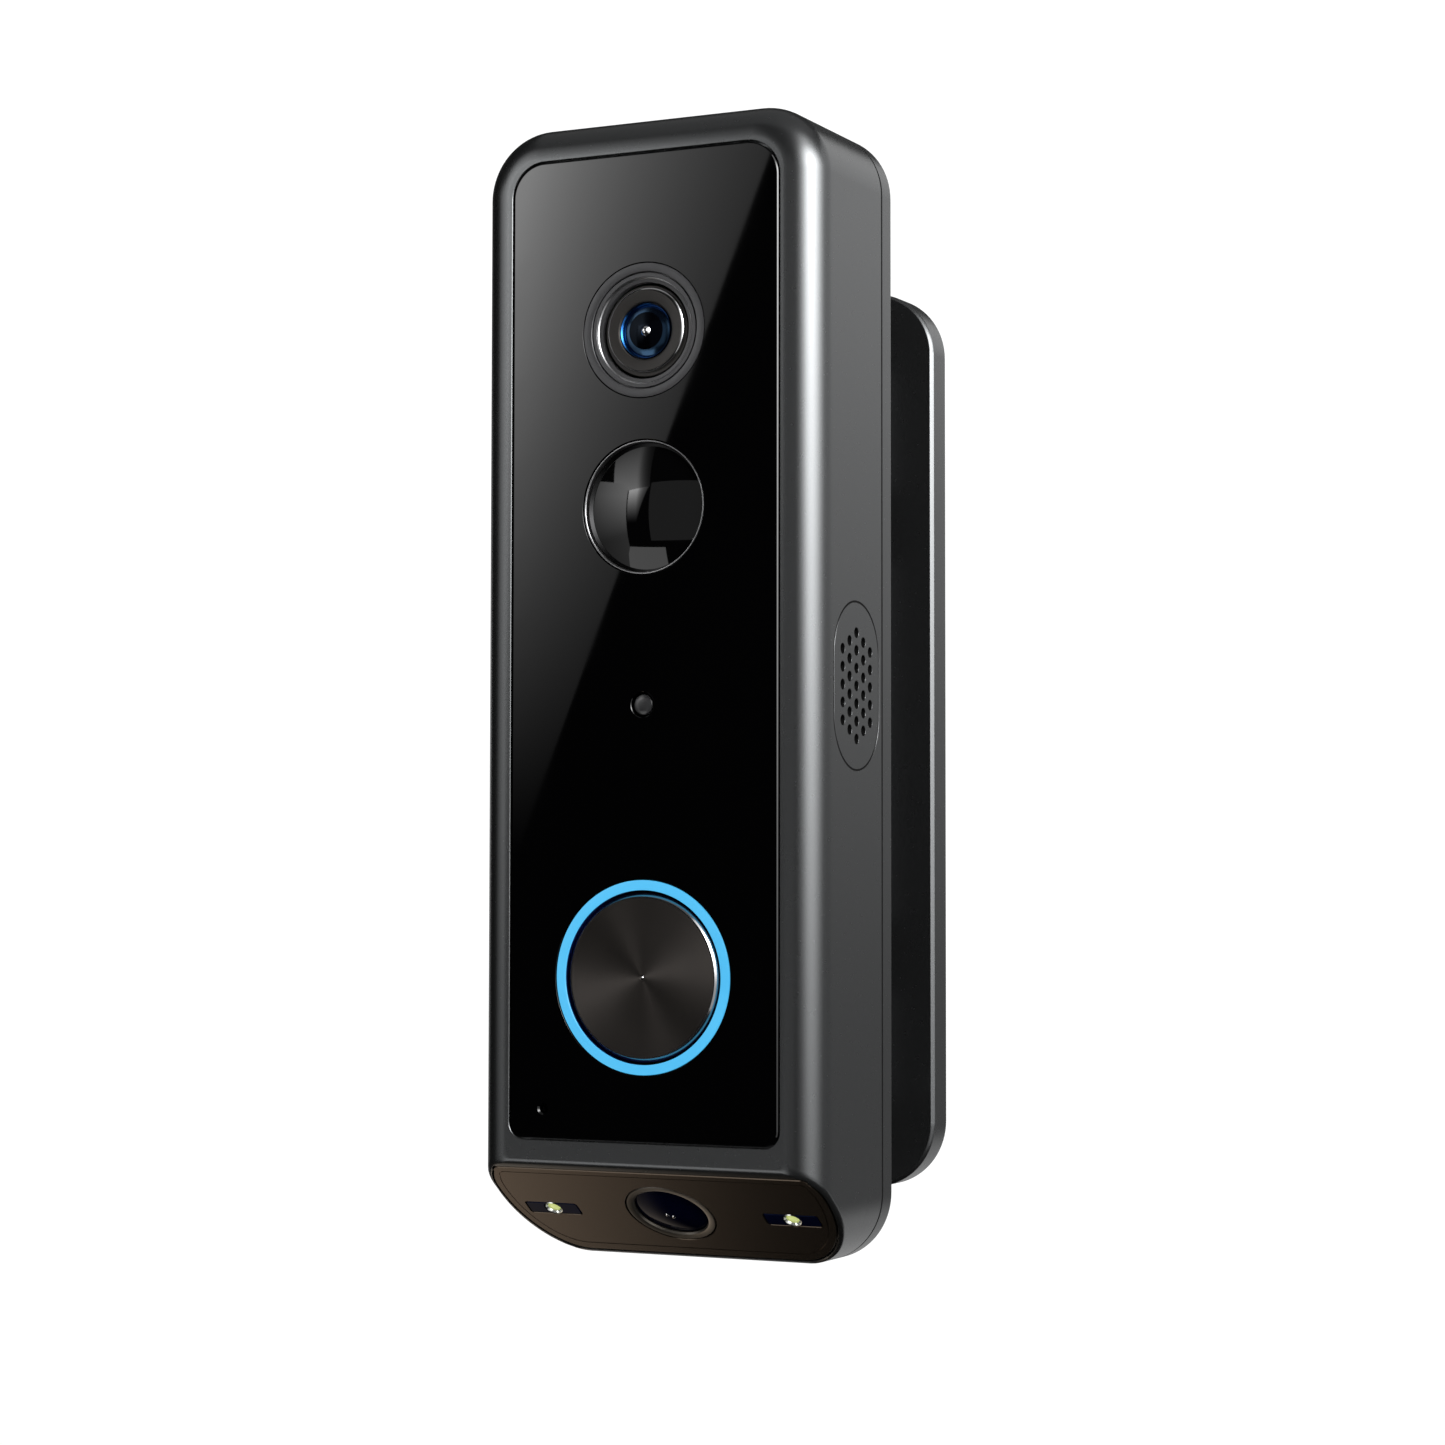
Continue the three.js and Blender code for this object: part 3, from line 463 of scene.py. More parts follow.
def coated_lens(name, color, coat_tint, index, roughness):
    """A deep dark body under a coloured reflection."""
    look = glassy(name, color, roughness, 300, 0.01, 200, 0.3, index)
    look.set(Specular_Tint=(*coat_tint, 1))
    return look


def glowing_ring():
    """Translucent ring that glows blue, slightly uneven between its lamps."""
    look = Look("lit_ring", (0.02, 0.09, 0.16), 0.35)
    glow = look.ramp(look.noise(90), ((0.055, 0.44, 0.78), (0.08, 0.5, 0.84)))
    look.set(Emission_Color=glow, Emission_Strength=0.95)
    return look


def lathe_turned_metal():
    """Face turned on a lathe: highlights fan out from the centre."""
    look = Look("spun_metal", (0.058, 0.052, 0.048), 0.3, metallic=1.0)
    tangent = add_node(look.tree, "ShaderNodeTangent")
    tangent.direction_type = "RADIAL"
    tangent.axis = "Y"
    look.set(Anisotropic=0.9, Tangent=tangent.outputs["Tangent"])
    look.vary_color(look.noise(150, 1.0), 0.06)
    look.vary_roughness(look.noise(200, 1.0), 0.01)
    return look


def glowing_chip():
    """Phosphor of the chin lights, which also glow faintly."""
    look = moulded("led_phosphor", (0.75, 0.8, 0.3), 0.3)
    look.set(Emission_Color=(0.75, 0.85, 0.3, 1), Emission_Strength=0.55)
    return look


reflector = moulded("led_reflector", (0.75, 0.76, 0.72), 0.15, metallic=1.0)
led_phosphor = glowing_chip()
black_glass = glassy("black_glass", (0.0003, 0.0003, 0.0004), 0.02, 60, 0.008, 25, 0.3, detail=4.0)
gloss_black = glassy("gloss_black", (0.0006, 0.0006, 0.0007), 0.03, 150, 0.015, 90, 0.2)
blue_lens = coated_lens("lens_coating", (0.0006, 0.0008, 0.002), (0.25, 0.55, 1.0), 2.1, 0.18)
dark_lens = coated_lens("dark_lens_coating", (0.0005, 0.0005, 0.001), (0.5, 0.7, 1.0), 1.15, 0.08)
lower_lens = coated_lens("lower_lens_coating", (0.001, 0.0015, 0.01), (0.3, 0.45, 1.0), 1.08, 0.06)
tinted_pane = coated_lens("tinted_window", (0.002, 0.004, 0.022), (0.3, 0.45, 1.0), 1.15, 0.12)
lit_ring = glowing_ring()
spun_metal = lathe_turned_metal()

# ---- front housing


def crease_floor(depth):
    """Height of the body's lower boundary at a depth: round the crease, then down the slanted chin."""
    meeting = CREASE_HEIGHT + CREASE_DEPTH * math.tan(CHIN_SLANT)
    start = meeting + CREASE_ROUNDING * math.tan((math.pi / 2 - CHIN_SLANT) / 2)
    arc_end = CREASE_ROUNDING * (1 - math.sin(CHIN_SLANT))
    if depth <= arc_end:
        return start - math.sqrt(CREASE_ROUNDING**2 - (CREASE_ROUNDING - depth) ** 2)
    return CREASE_HEIGHT - (depth - CREASE_DEPTH) * math.tan(CHIN_SLANT)


def front_inset(depth):
    """How far the rounded front edge draws the outline in at a depth."""
    if depth >= FRONT_ROUNDING:
        return 0.0
    cosine = 1 - depth / FRONT_ROUNDING
    return FRONT_ROUNDING * (1 - math.sqrt(1 - cosine**2))


def spread(points, count):
    """The given number of points at even spacing along a line of points."""
    lengths = [0.0]
    for (x0, z0), (x1, z1) in zip(points, points[1:]):
        lengths.append(lengths[-1] + math.hypot(x1 - x0, z1 - z0))
    placed = []
    part = 0
    for i in range(count):
        goal = lengths[-1] * i / (count - 1)
        while part < len(points) - 2 and lengths[part + 1] < goal:
            part += 1
        share = (goal - lengths[part]) / (lengths[part + 1] - lengths[part])
        x = points[part][0] + share * (points[part + 1][0] - points[part][0])
        z = points[part][1] + share * (points[part + 1][1] - points[part][1])
        placed.append((x, z))
    return placed


def body_outline(inset, floor):
    """The body's outline drawn in by inset and cut off level at floor, with the cut's corners rounded."""
    straight_top = 18.0
    centre_x = HALF_WIDTH - CORNER
    radius = CORNER - inset
    fillet = min(CHIN_FILLET, radius - 0.1)
    rise = floor + fillet - CORNER
    if rise < 0:
        reach = math.sqrt(max(0.0, (radius - fillet) ** 2 - rise**2))
        meeting = math.degrees(math.atan2(rise, reach))
        right = arc(centre_x, CORNER, radius, meeting, 0, 24) + [(centre_x + radius, straight_top)]
    else:
        reach = radius - fillet
        meeting = 0.0
        right = [(centre_x + radius, floor + fillet), (centre_x + radius, straight_top)]
    lower = arc(centre_x + reach, floor + fillet, fillet, -90, meeting, 8)
    upper = arc(centre_x, HEIGHT - CORNER, radius, 0, 90, CORNER_STEPS)
    half = lower[:-1] + spread(right, 40) + upper
    return half + [(-x, z) for x, z in reversed(half)]


def housing_sections():
    """Depth and outline from the front face, down the chin, to the seam."""
    sections = []
    steps = 18
    for i in range(steps + 1):
        depth = FRONT_ROUNDING * (1 - math.cos(math.pi / 2 * i / steps))
        sections.append((depth, body_outline(front_inset(depth), crease_floor(depth))))
    chin_end = CREASE_DEPTH + CREASE_HEIGHT / math.tan(CHIN_SLANT)
    back_rounding = 0.5
    rounding_start = chin_end - back_rounding
    for i in range(1, steps + 1):
        depth = FRONT_ROUNDING + (rounding_start - FRONT_ROUNDING) * i / steps
        sections.append((depth, body_outline(0, crease_floor(depth))))
    rounding_steps = 4
    for i in range(1, rounding_steps + 1):
        share = i / rounding_steps
        floor = crease_floor(rounding_start) * (1 - share) ** 2
        sections.append((rounding_start + 2 * back_rounding * share, body_outline(0, floor)))
    sections.append((SEAM - SEAM_EDGE, body_outline(0, 0)))
    sections.append((SEAM, body_outline(SEAM_EDGE, SEAM_EDGE)))
    return sections


GLASS_LOW, GLASS_HIGH = box_in_body("front_glass")
GLASS_TOP_RADIUS = 4.5
GLASS_BOTTOM_RADIUS = 2.0


def glass_outline(margin):
    return grown(GLASS_LOW, GLASS_HIGH, margin, GLASS_TOP_RADIUS, GLASS_BOTTOM_RADIUS)


def chin_outline(side_inset, back_inset, front_edge):
    """Outline in the chin's own plane, drawn in from the body's edges."""
    centre_x = HALF_WIDTH - CORNER
    corner_distance = (CREASE_HEIGHT - CORNER) / math.sin(CHIN_SLANT)
    front_corner = 1.0
    steps = 14
    side = []
    for i in range(steps + 1):
        distance = front_edge + front_corner + (corner_distance - front_edge - front_corner) * i / steps
        depth = CREASE_DEPTH + distance * math.cos(CHIN_SLANT)
        side.append((HALF_WIDTH - front_inset(depth) - side_inset, -distance))
    steps = 28
    for i in range(1, steps + 1):
        angle = math.pi / 2 * i / steps
        height = CORNER - (CORNER - back_inset) * math.sin(angle)
        distance = (CREASE_HEIGHT - height) / math.sin(CHIN_SLANT)
        side.append((centre_x + (CORNER - side_inset) * math.cos(angle), -distance))
    first_x, first_z = side[0]
    front = arc(first_x - front_corner, first_z, front_corner, 90, 15, 6)
    half = front + side
    return [(x, z) for x, z in reversed(half)] + [(-x, z) for x, z in half]


GRILLE_LOW, GRILLE_HIGH = box_in_body("speaker_grille")
GRILLE_Y = (GRILLE_LOW.y + GRILLE_HIGH.y) / 2
GRILLE_Z = (GRILLE_LOW.z + GRILLE_HIGH.z) / 2


def grille_outline(margin):
    half_y, half_z = (GRILLE_HIGH.y - GRILLE_LOW.y) / 2, (GRILLE_HIGH.z - GRILLE_LOW.z) / 2
    return oblong(GRILLE_Y, GRILLE_Z, half_y + margin, half_z + margin)


def body_cavity():
    """The hollow inside the shell, kept clear of the chin's wall."""
    side, top, radius = HALF_WIDTH - WALL, HEIGHT - WALL, CORNER - WALL
    front = 2.2
    slope = 2.6                  # how far the hollow draws in towards its front
    levels = ((front, 18, slope), (front + slope, 16, 0), (11, 10, 0), (DEPTH, WALL, 0))
    hollow = loft("cavity", [
        (depth, rounded(inset - side, side - inset, floor, top - inset, radius - inset))
        for depth, floor, inset in levels
    ])
    beyond = 40
    chin_wall = block((-beyond, -beyond, -beyond), (beyond, 3.4, beyond))
    return combine(hollow, [moved(chin_wall, CHIN_IN_BODY)])


def chin_window(half_length, middle, half_height):
    """A cutter for an opening behind the chin's recess."""
    front, back = 0.5, 4.4
    cutter = block((-half_length, front, middle - half_height), (half_length, back, middle + half_height))
    return moved(cutter, CHIN_IN_BODY)


def front_housing():
    shell = loft("front_housing_shell", housing_sections())
    ledge = 1.5                  # rim that the glass rests on
    clear = 0.28                 # between the shell and its inserts
    combine(shell, [
        pocket(lambda m: glass_outline(clear + m), 1.4, 0.06),
        prism(glass_outline(-ledge), -1, 4),
        moved(pocket(lambda m: chin_outline(0.62 - m, 0.3 - m, 0.42 - m), 1.5, 0.08), CHIN_IN_BODY),
        moved(pocket(lambda m: grille_outline(clear + m), 1.7, 0.02), SIDE_IN_BODY),
        moved(prism(grille_outline(-1.15), -1, 3), SIDE_IN_BODY),
        chin_window(21.7, LIGHT_Z, 2.8),
        chin_window(7, LOWER_CAMERA_Z, 6.4),
        body_cavity(),
    ])
    dress(shell, graphite, "front_housing")


front_housing()

# ---- front glass


def front_glass():
    glass = plug("front_glass_panel", glass_outline, GLASS_HIGH.y, 0.14)
    ring_gap, window_gap, microphone_radius = 0.12, 0.3, 0.6
    cutters = []
    for node in ("camera_bezel", "pir_trim_ring", "light_ring"):
        x, z, radius = spot_of(node)
        cutters.append(hole(x, z, radius + ring_gap, 0.015))
    x, z, radius = spot_of("sensor_window")
    cutters.append(hole(x, z, radius + window_gap, 0.06, SMALL_STEPS))
    x, z = spot_of("microphone_boot")[:2]
    cutters.append(hole(x, z, microphone_radius, 0.22, SMALL_STEPS))
    combine(glass, [merged("glass_holes", cutters)])
    dress(glass, black_glass, "front_glass")


front_glass()

# ---- main camera


def dome(radius, rim_depth, rise, steps=FINE_STEPS):
    """A shallow dome as (radius, depth) pairs from the axis out to the rim."""
    return [(radius * i / steps, rim_depth - rise * (1 - (i / steps) ** 2)) for i in range(steps + 1)]


def domed(radius, rim_depth, rise, back, steps=FINE_STEPS):
    """Profile of a solid with a shallow dome in front and a flat back."""
    return dome(radius, rim_depth, rise, steps) + [(radius, back), (0, back)]


def camera_bezel(x, z, radius):
    dress(turned("camera_bezel_ring", [
        (radius, 0.1), (radius, 1.5), (6.28, 1.5), (6.28, 0.75), (6.33, 0.58), (6.94, 0.5), (6.95, 0.22),
        (7.0, 0.16), (7.46, 0.16), (7.49, 0.24), (7.5, 0.6), (7.66, 0.6), (7.67, 0.2), (7.73, 0.12),
        (radius - 0.1, 0.0), (radius - 0.03, 0.02),
    ], x, z), dark_metal, "camera_bezel", sharp=25)
    dress(turned("camera_bezel_lip", [
        (6.94, 0.38), (6.94, 0.7), (6.76, 0.7), (6.76, 0.53), (6.9, 0.38),
    ], x, z), ring_metal, sharp=40)


def camera_barrel(x, z):
    barrel_radius = spot_of("camera_barrel")[2]
    back = box_in_body("camera_barrel")[1].y
    dress(turned("camera_barrel_body", [
        (0, 3.2), (2.9, 3.0), (3.1, 1.6), (3.2, 1.5), (3.72, 1.4), (3.78, 0.7), (3.9, 0.58),
        (4.05, 0.52), (5.26, 0.42), (5.3, 1.0), (5.9, 1.0), (barrel_radius, 1.1), (barrel_radius, back),
        (0, back),
    ], x, z), barrel_metal, "camera_barrel", sharp=25)


def camera_lens(x, z):
    """A dark domed centre with a bead of light, a blue lens round it and a coated collar."""
    rim = spot_of("camera_lens")[2] - 0.1
    middle, element = 2.45, 3.3          # radii of the dark centre and of the lens round it
    back = 1.3
    lens = turned("camera_lens_stack", domed(middle, 0.78, 0.24, back), x, z)
    dress(lens, dark_lens, "camera_lens")
    dress(turned("camera_lens_slope", [
        (middle, back), (middle, 0.74), (2.7, 0.81), (2.95, 0.9), (3.15, 0.99), (element, 1.07),
        (element, back),
    ], x, z), blue_lens)
    dress(turned("camera_lens_collar", [
        (element, back), (element, 0.98), (rim - 0.04, 0.64), (rim, 0.6), (rim, back),
    ], x, z), blue_coat, sharp=50)

    bead = turned("camera_lens_core", domed(0.75, 0.62, 0.5, 0.7, 10), x, z, SMALL_STEPS)
    dress(bead, polished)


def camera_barrel_edge(x, z):
    """The polished edge of the barrel's front disc, slightly off centre."""
    dress(turned("camera_barrel_edge", [
        (5.1, 0.6), (5.22, 0.46), (5.48, 0.56), (5.56, 0.66), (5.58, 0.9), (5.1, 0.9),
    ], x, z), polished, sharp=50)


def main_camera():
    x, z, radius = spot_of("camera_bezel")
    camera_bezel(x, z, radius)
    camera_barrel(x, z)
    camera_lens(x, z)
    camera_barrel_edge(x + 0.05, z + 0.14)


# ---- motion and light sensors


def motion_sensor():
    x, z, radius = spot_of("pir_trim_ring")
    inner = radius - 0.3
    back = 2.4
    dress(turned("pir_ring", [
        (inner, back), (inner, 0.3), (inner + 0.1, 0.16), (inner + 0.16, 0.14), (radius - 0.06, 0.16),
        (radius, 0.22), (radius, back),
    ], x, z), ring_metal, "pir_trim_ring", sharp=50)

    rim = inner - 0.06
    edge_depth, rise, wall = 0.9, 1.6, 0.8
    outside = dome(rim, edge_depth, rise, 40)
    inside = dome(rim - wall, edge_depth + wall, rise)
    cover = turned("pir_dome", outside + [(rim, back), (rim - wall, back)] + inside[::-1], x, z)
    dress(cover, gloss_black, "pir_lens", sharp=60)


def small_sensors():
    x, z, radius = spot_of("sensor_window")
    dress(turned("sensor_window_disc", [
        (0, 0.12), (radius * 0.5, 0.14), (radius - 0.14, 0.2), (radius - 0.04, 0.28), (radius, 0.4),
        (radius, 1.1), (0, 1.1),
    ], x, z, SMALL_STEPS), window_tint, "sensor_window", sharp=50)

    x, z, radius = spot_of("microphone_boot")
    back = box_in_body("microphone_boot")[1].y
    bore = 0.7
    dress(turned("microphone_boot_tube", [
        (bore + 0.1, 1.45), (radius - 0.1, 1.45), (radius, 1.6), (radius, 3.0), (radius - 0.25, 3.3),
        (radius - 0.25, back - 0.9), (radius, back - 0.6), (radius, back), (bore, back), (bore, 1.6),
    ], x, z, SMALL_STEPS), silicone, "microphone_boot")


main_camera()
motion_sensor()
small_sensors()

# ---- push button


def light_ring():
    x, z, radius = spot_of("light_ring")
    inner = radius - 1.3
    back = box_in_body("light_ring")[1].y
    glow_back = 0.26
    dress(turned("light_ring_glow", [
        (radius, 0.12), (radius, glow_back), (inner, glow_back), (inner, 0.12), (inner + 0.1, 0.02),
        (radius - 0.1, 0.02),
    ], x, z), lit_ring, "light_ring", sharp=50)
    dress(turned("light_ring_body", [
        (radius, glow_back), (radius, back), (inner, back), (inner, glow_back),
    ], x, z), deep_blue, sharp=50)


def push_button():
    """The cap is turned: fine grooves on a face that dishes slightly, and a polished chamfer."""
    x, z, radius = spot_of("button_cap")
    back = box_in_body("button_cap")[1].y
    face = radius - 0.5
    pip, landing = 0.3, 0.02     # radius of the pit in the centre, and the flat round it
    pitch, groove = 0.24, 0.005  # spacing and depth of the turning grooves
    dish = 0.12
    profile = [(0, dish + 0.1), (pip - 0.1, dish + 0.1), (pip, dish)]
    count = int((face - pip) / pitch)
    for i in range(count):
        start = pip + landing + i * pitch
        level = dish * (1 - (start / face) ** 2)
        profile.append((start, level))
        profile.append((start + pitch / 2, level + groove))
    profile += [
        (face, 0.0), (face + 0.02, 0.7), (radius - 0.1, 0.7), (radius - 0.1, 2.2), (3.0, 2.2), (3.0, back),
        (0, back),
    ]
    cap = turned("button_cap_disc", profile, x, z, CAP_STEPS)
    dress(cap, spun_metal, "button_cap", "button", sharp=28)
    rim = radius + 0.16
    dress(turned("button_cap_edge", [
        (face + 0.03, 0.02), (face + 0.16, 0.02), (rim - 0.12, 0.42), (rim - 0.03, 0.54), (rim, 0.7),
        (rim, 2.1), (face + 0.03, 2.1),
    ], x, z), dark_chrome, body="button", sharp=28)
    centre = turned("button_cap_centre", domed(0.17, dish, 0.12, dish + 0.2, 8), x, z, 32)
    dress(centre, polished, body="button")


light_ring()
push_button()

# ---- chin


def light_outline(side, margin):
    middle = side * LIGHT_X
    corner = 0.35
    return rounded(
        middle - LIGHT_HALF_LENGTH - margin, middle + LIGHT_HALF_LENGTH + margin,
        LIGHT_Z - LIGHT_HALF_HEIGHT - margin, LIGHT_Z + LIGHT_HALF_HEIGHT + margin, corner + margin, steps=8,
    )


def panel_outline(margin):
    return chin_outline(0.86 - margin, 0.44 - margin, 0.62 - margin)


def chin_panel():
    """The panel has a hairline groove just inside its outline."""
    panel = plug("chin_panel_plate", panel_outline, 1.2, 0.1)
    inset, width, depth = 0.95, 0.12, 0.08
    groove = band("panel_groove", panel_outline(-inset), panel_outline(-inset - width), -0.2, depth)
    cutters = [groove, hole(0, LOWER_CAMERA_Z, 6.24, 0.06)]
    for side in (-1, 1):
        cutters.append(pocket(lambda m, s=side: light_outline(s, 0.12 + m), HOLE_DEPTH, 0.06))
        cutters.append(hole(side * LIGHT_X, LIGHT_Z, LIGHT_CUP + 0.1, 0.05, SMALL_STEPS))
    combine(panel, cutters)
    # The panel's brown tint carries a painted warm reflection from below.
    dress(panel, coat_with_warm_reflection, "chin_panel", frame=CHIN)


def lower_camera():
    dress(turned("lower_camera_trim", [
        (6.1, 0.14), (6.1, 2.9), (5.2, 2.9), (5.2, 0.7), (5.1, 0.6), (5.02, 0.34), (5.16, 0.1), (5.4, 0.02),
        (6.0, 0.02),
    ], 0, LOWER_CAMERA_Z), brown_ring, "lower_camera_ring", sharp=25, frame=CHIN)
    lens = turned("lower_camera_dome", domed(4.94, 0.5, 0.8, 2.4), 0, LOWER_CAMERA_Z)
    dress(lens, lower_lens, "lower_camera_lens", frame=CHIN)
    spark_profile = domed(0.34, -0.22, 0.24, 0, 8)
    for i, (x, z) in enumerate(((-0.35, 0.15), (0.45, -0.25))):
        spark = turned(f"lower_camera_spark_{i + 1}", spark_profile, x, LOWER_CAMERA_Z + z, TINY_STEPS)
        dress(spark, polished, frame=CHIN)


def chin_lights():
    """Each light is a chip in a small reflector, set in a dark window."""
    for side, word in ((-1, "left"), (1, "right")):
        x = side * LIGHT_X
        window = plug(f"led_window_{word}_pane", lambda m, s=side: light_outline(s, m - 0.02), 0.9, 0.08)
        combine(window, [hole(x, LIGHT_Z, LIGHT_CUP, 0.0, SMALL_STEPS)])
        dress(window, tinted_pane, f"led_window_{word}", frame=CHIN)
        dress(turned(f"led_reflector_{word}", [
            (LIGHT_CUP - 0.04, 0.06), (LIGHT_CUP - 0.04, 1.1), (0.84, 1.1), (0.9, 0.62), (1.02, 0.34),
            (1.1, 0.08), (1.16, -0.02), (LIGHT_CUP - 0.14, -0.04),
        ], x, LIGHT_Z, SMALL_STEPS), reflector, frame=CHIN)
        dress(turned(f"led_{word}_chip", [
            (0, 0.12), (0.4, 0.16), (0.68, 0.3), (0.78, 0.56), (0.78, 3.2), (0, 3.2),
        ], x, LIGHT_Z, TINY_STEPS), led_phosphor, f"led_{word}", frame=CHIN)


chin_panel()
lower_camera()
chin_lights()

# ---- speaker grille


def speaker_grille():
    insert = plug("speaker_grille_insert", grille_outline, 1.4, 0.02)
    column_pitch, row_pitch = 2.19, 2.3
    radius, wall = 0.71, 0.07
    front, back = 0.03, 1.3              # ends of the matt black tube of painted shade that lines each hole
    cutters = []
    hole_shades = []
    for column, count in enumerate((5, 6, 7, 6, 5)):
        for row in range(count):
            y = GRILLE_Y + (column - 2) * column_pitch
            z = GRILLE_Z + (row - (count - 1) / 2) * row_pitch
            cutters.append(hole(y, z, radius, 0.015, FINE_STEPS))
            hole_shades.append(turned("grille_hole_shade", [
                (radius, front), (radius, back), (radius - wall, back), (radius - wall, front),
            ], y, z, FINE_STEPS))
    combine(insert, cutters)
    dress(insert, graphite, "speaker_grille", frame=SIDE)
    # Matt black tubes of painted shade darken the inside of the holes.
    dress(merged("speaker_grille_hole_shades", hole_shades), painted_shade_black, frame=SIDE)
    # A matt black band of painted shade fills the gap round the insert.
    rim = band("speaker_grille_gap_shade", grille_outline(0.28), grille_outline(0), front, 0.5)
    dress(rim, painted_shade_black, frame=SIDE)


speaker_grille()

# ---- back cover

COVER_FLOOR = 22.0
SCREW_X = 19.7
SCREW_HEIGHTS = (22.0, 138.0)
HOOK_HEIGHTS = (22.0, 112.0)
HOOK_HALF = 6.4
HOOK_DROP = 6.4              # room under a hook for the doorbell to lift off
PORT_HALF = 13.0
PORT_BOTTOM, PORT_TOP = 129.0, 139.6
PORT_FLOOR = 23.4
SOCKET_X, SOCKET_Z = -5.0, 135.0
RESET_X = 7.0


def hook_box(height, margin):
    front = 18.8
    top = height + 8.8
    return block(
        (-HOOK_HALF - margin, front - margin, height - HOOK_DROP - margin),
        (HOOK_HALF + margin, COVER_FLOOR + 0.4, top + margin),
    )


def sideways_oblong(x, z, half_length, half_height):
    return [(x + pz, z - px) for px, pz in oblong(0, 0, half_height, half_length)]


def flared(left, right, bottom, top, radius, bottom_radius, flare, steps):
    """The outline of a recess, and the wider one at its mouth."""
    return [
        rounded(left - f, right + f, bottom - f, top + f, radius + f, bottom_radius + f, steps)
        for f in (0, flare)
    ]


def back_cover():
    rounded_rear = rear_edge(lambda inset: body_outline(inset, inset), DEPTH, 0.8, 6)
    cover = loft("back_cover_shell", [(COVER_FRONT, body_outline(0, 0))] + rounded_rear)
    inner = HALF_WIDTH - WALL
    hollow = rounded(-inner, inner, WALL, HEIGHT - WALL, CORNER - WALL)
    combine(cover, [prism(hollow, COVER_FRONT - 1, COVER_FLOOR)])
    combine(cover, [hook_box(height, 1.1) for height in HOOK_HEIGHTS], "UNION")

    cutters = []
    for height in HOOK_HEIGHTS:
        cutters.append(hook_box(height, 0))
        low, high = height - HOOK_DROP, height + 3.4
        mouth, wide = flared(-HOOK_HALF, HOOK_HALF, low, high, 0.5, 0.5, 0.6, 4)
        cutters.append(loft("hook_mouth", [
            (COVER_FLOOR - 0.6, mouth), (DEPTH - 0.3, mouth), (DEPTH + 0.3, wide),
        ]))
    for side in (-1, 1):
        for height in SCREW_HEIGHTS:
            cutters.append(rear_hole(side * SCREW_X, height, 2.5, 23.1, DEPTH, 0.15))
            cutters.append(rear_hole(side * SCREW_X, height, 1.4, 21, DEPTH, 0))
    port, wide = flared(-PORT_HALF, PORT_HALF, PORT_BOTTOM, PORT_TOP, 1.2, 0.6, 0.4, CORNER_STEPS)
    cutters.append(loft("port_recess", [(PORT_FLOOR, port), (DEPTH - 0.15, port), (DEPTH + 0.25, wide)]))
    cutters.append(prism(sideways_oblong(SOCKET_X, SOCKET_Z, 5, 2.1), COVER_FLOOR - 1, DEPTH))
    cutters.append(rear_hole(RESET_X, SOCKET_Z, 1.9, COVER_FLOOR - 1, PORT_FLOOR, 0.15))
    combine(cover, cutters)
    dress(cover, graphite, "back_cover")
    seam_band()


def seam_band():
    """A matt black band of painted shade, which fills the seam just below the surface."""
    edge = band("seam_painted_shade", body_outline(0.03, 0.03), body_outline(1, 1), SEAM, COVER_FRONT)
    dress(edge, painted_shade_black)


def cross_recess(x, z, surface, reach):
    """Cutters for a screw's cross-shaped recess, which opens to the rear and narrows to half its size."""
    arm, depth = 0.34, 0.7
    cutters = []
    for half_x, half_z in ((reach, arm), (arm, reach)):
        sections = []
        for level, size, corner in ((surface - depth, 0.5, 0.08), (surface + 0.1, 1, 0.1)):
            dx, dz = half_x * size, half_z * size
            sections.append((level, rounded(x - dx, x + dx, z - dz, z + dz, corner, steps=2)))
        cutters.append(loft("screw_arm", sections))
    return cutters


def screws(kind, head_start, body):
    """The four screws of a kind: pan heads that face the rear, with cross recesses."""
    shank = 1.1
    for i in range(1, 5):
        node = f"{kind}_{i}"
        x, z, head = spot_of(node)
        tip, head_end = [corner.y for corner in box_in_body(node)]
        piece = turned(f"{node}_fastener", [
            (0, tip), (shank * 0.6, tip), (shank, tip + 0.6), (shank, head_start), (head, head_start),
            (head, head_end - 0.45), (head - 0.12, head_end - 0.22), (head - 0.5, head_end - 0.06),
            (0, head_end),
        ], x, z, SMALL_STEPS)
        combine(piece, cross_recess(x, z, head_end, head * 0.62))
        dress(piece, steel, node, body)


# ---- port under the flap


def port_cover():
    """Rubber flap: its lower edge is a half round on the line it bends along, and its upper edge has a
    nail notch."""
    low, high = box_in_body("port_cover")
    half = (high.y - low.y) / 2
    middle = low.y + half
    hinge = low.z + half
    face_ease = 0.1              # how far the faces' edges are drawn in
    sections = []
    steps = 8
    for i in range(steps + 1):
        angle = math.pi * i / steps
        inset = face_ease if i in (0, steps) else 0.0
        bottom = hinge - half * math.sin(angle) + inset * 0.1
        outline = rounded(low.x + inset, high.x - inset, bottom, high.z - inset, 0.9, 0.3, steps)
        sections.append((middle - half * math.cos(angle), outline))
    flap = loft("port_cover_flap", sections)
    notch = turned("notch", [(0, 0), (2.2, 0), (2.8, 1), (0, 1)], 0, high.z + 0.7, SMALL_STEPS)
    combine(flap, [moved(notch, Matrix.Translation((0, middle, 0)))])
    dress(flap, silicone, "port_cover", "port_flap")


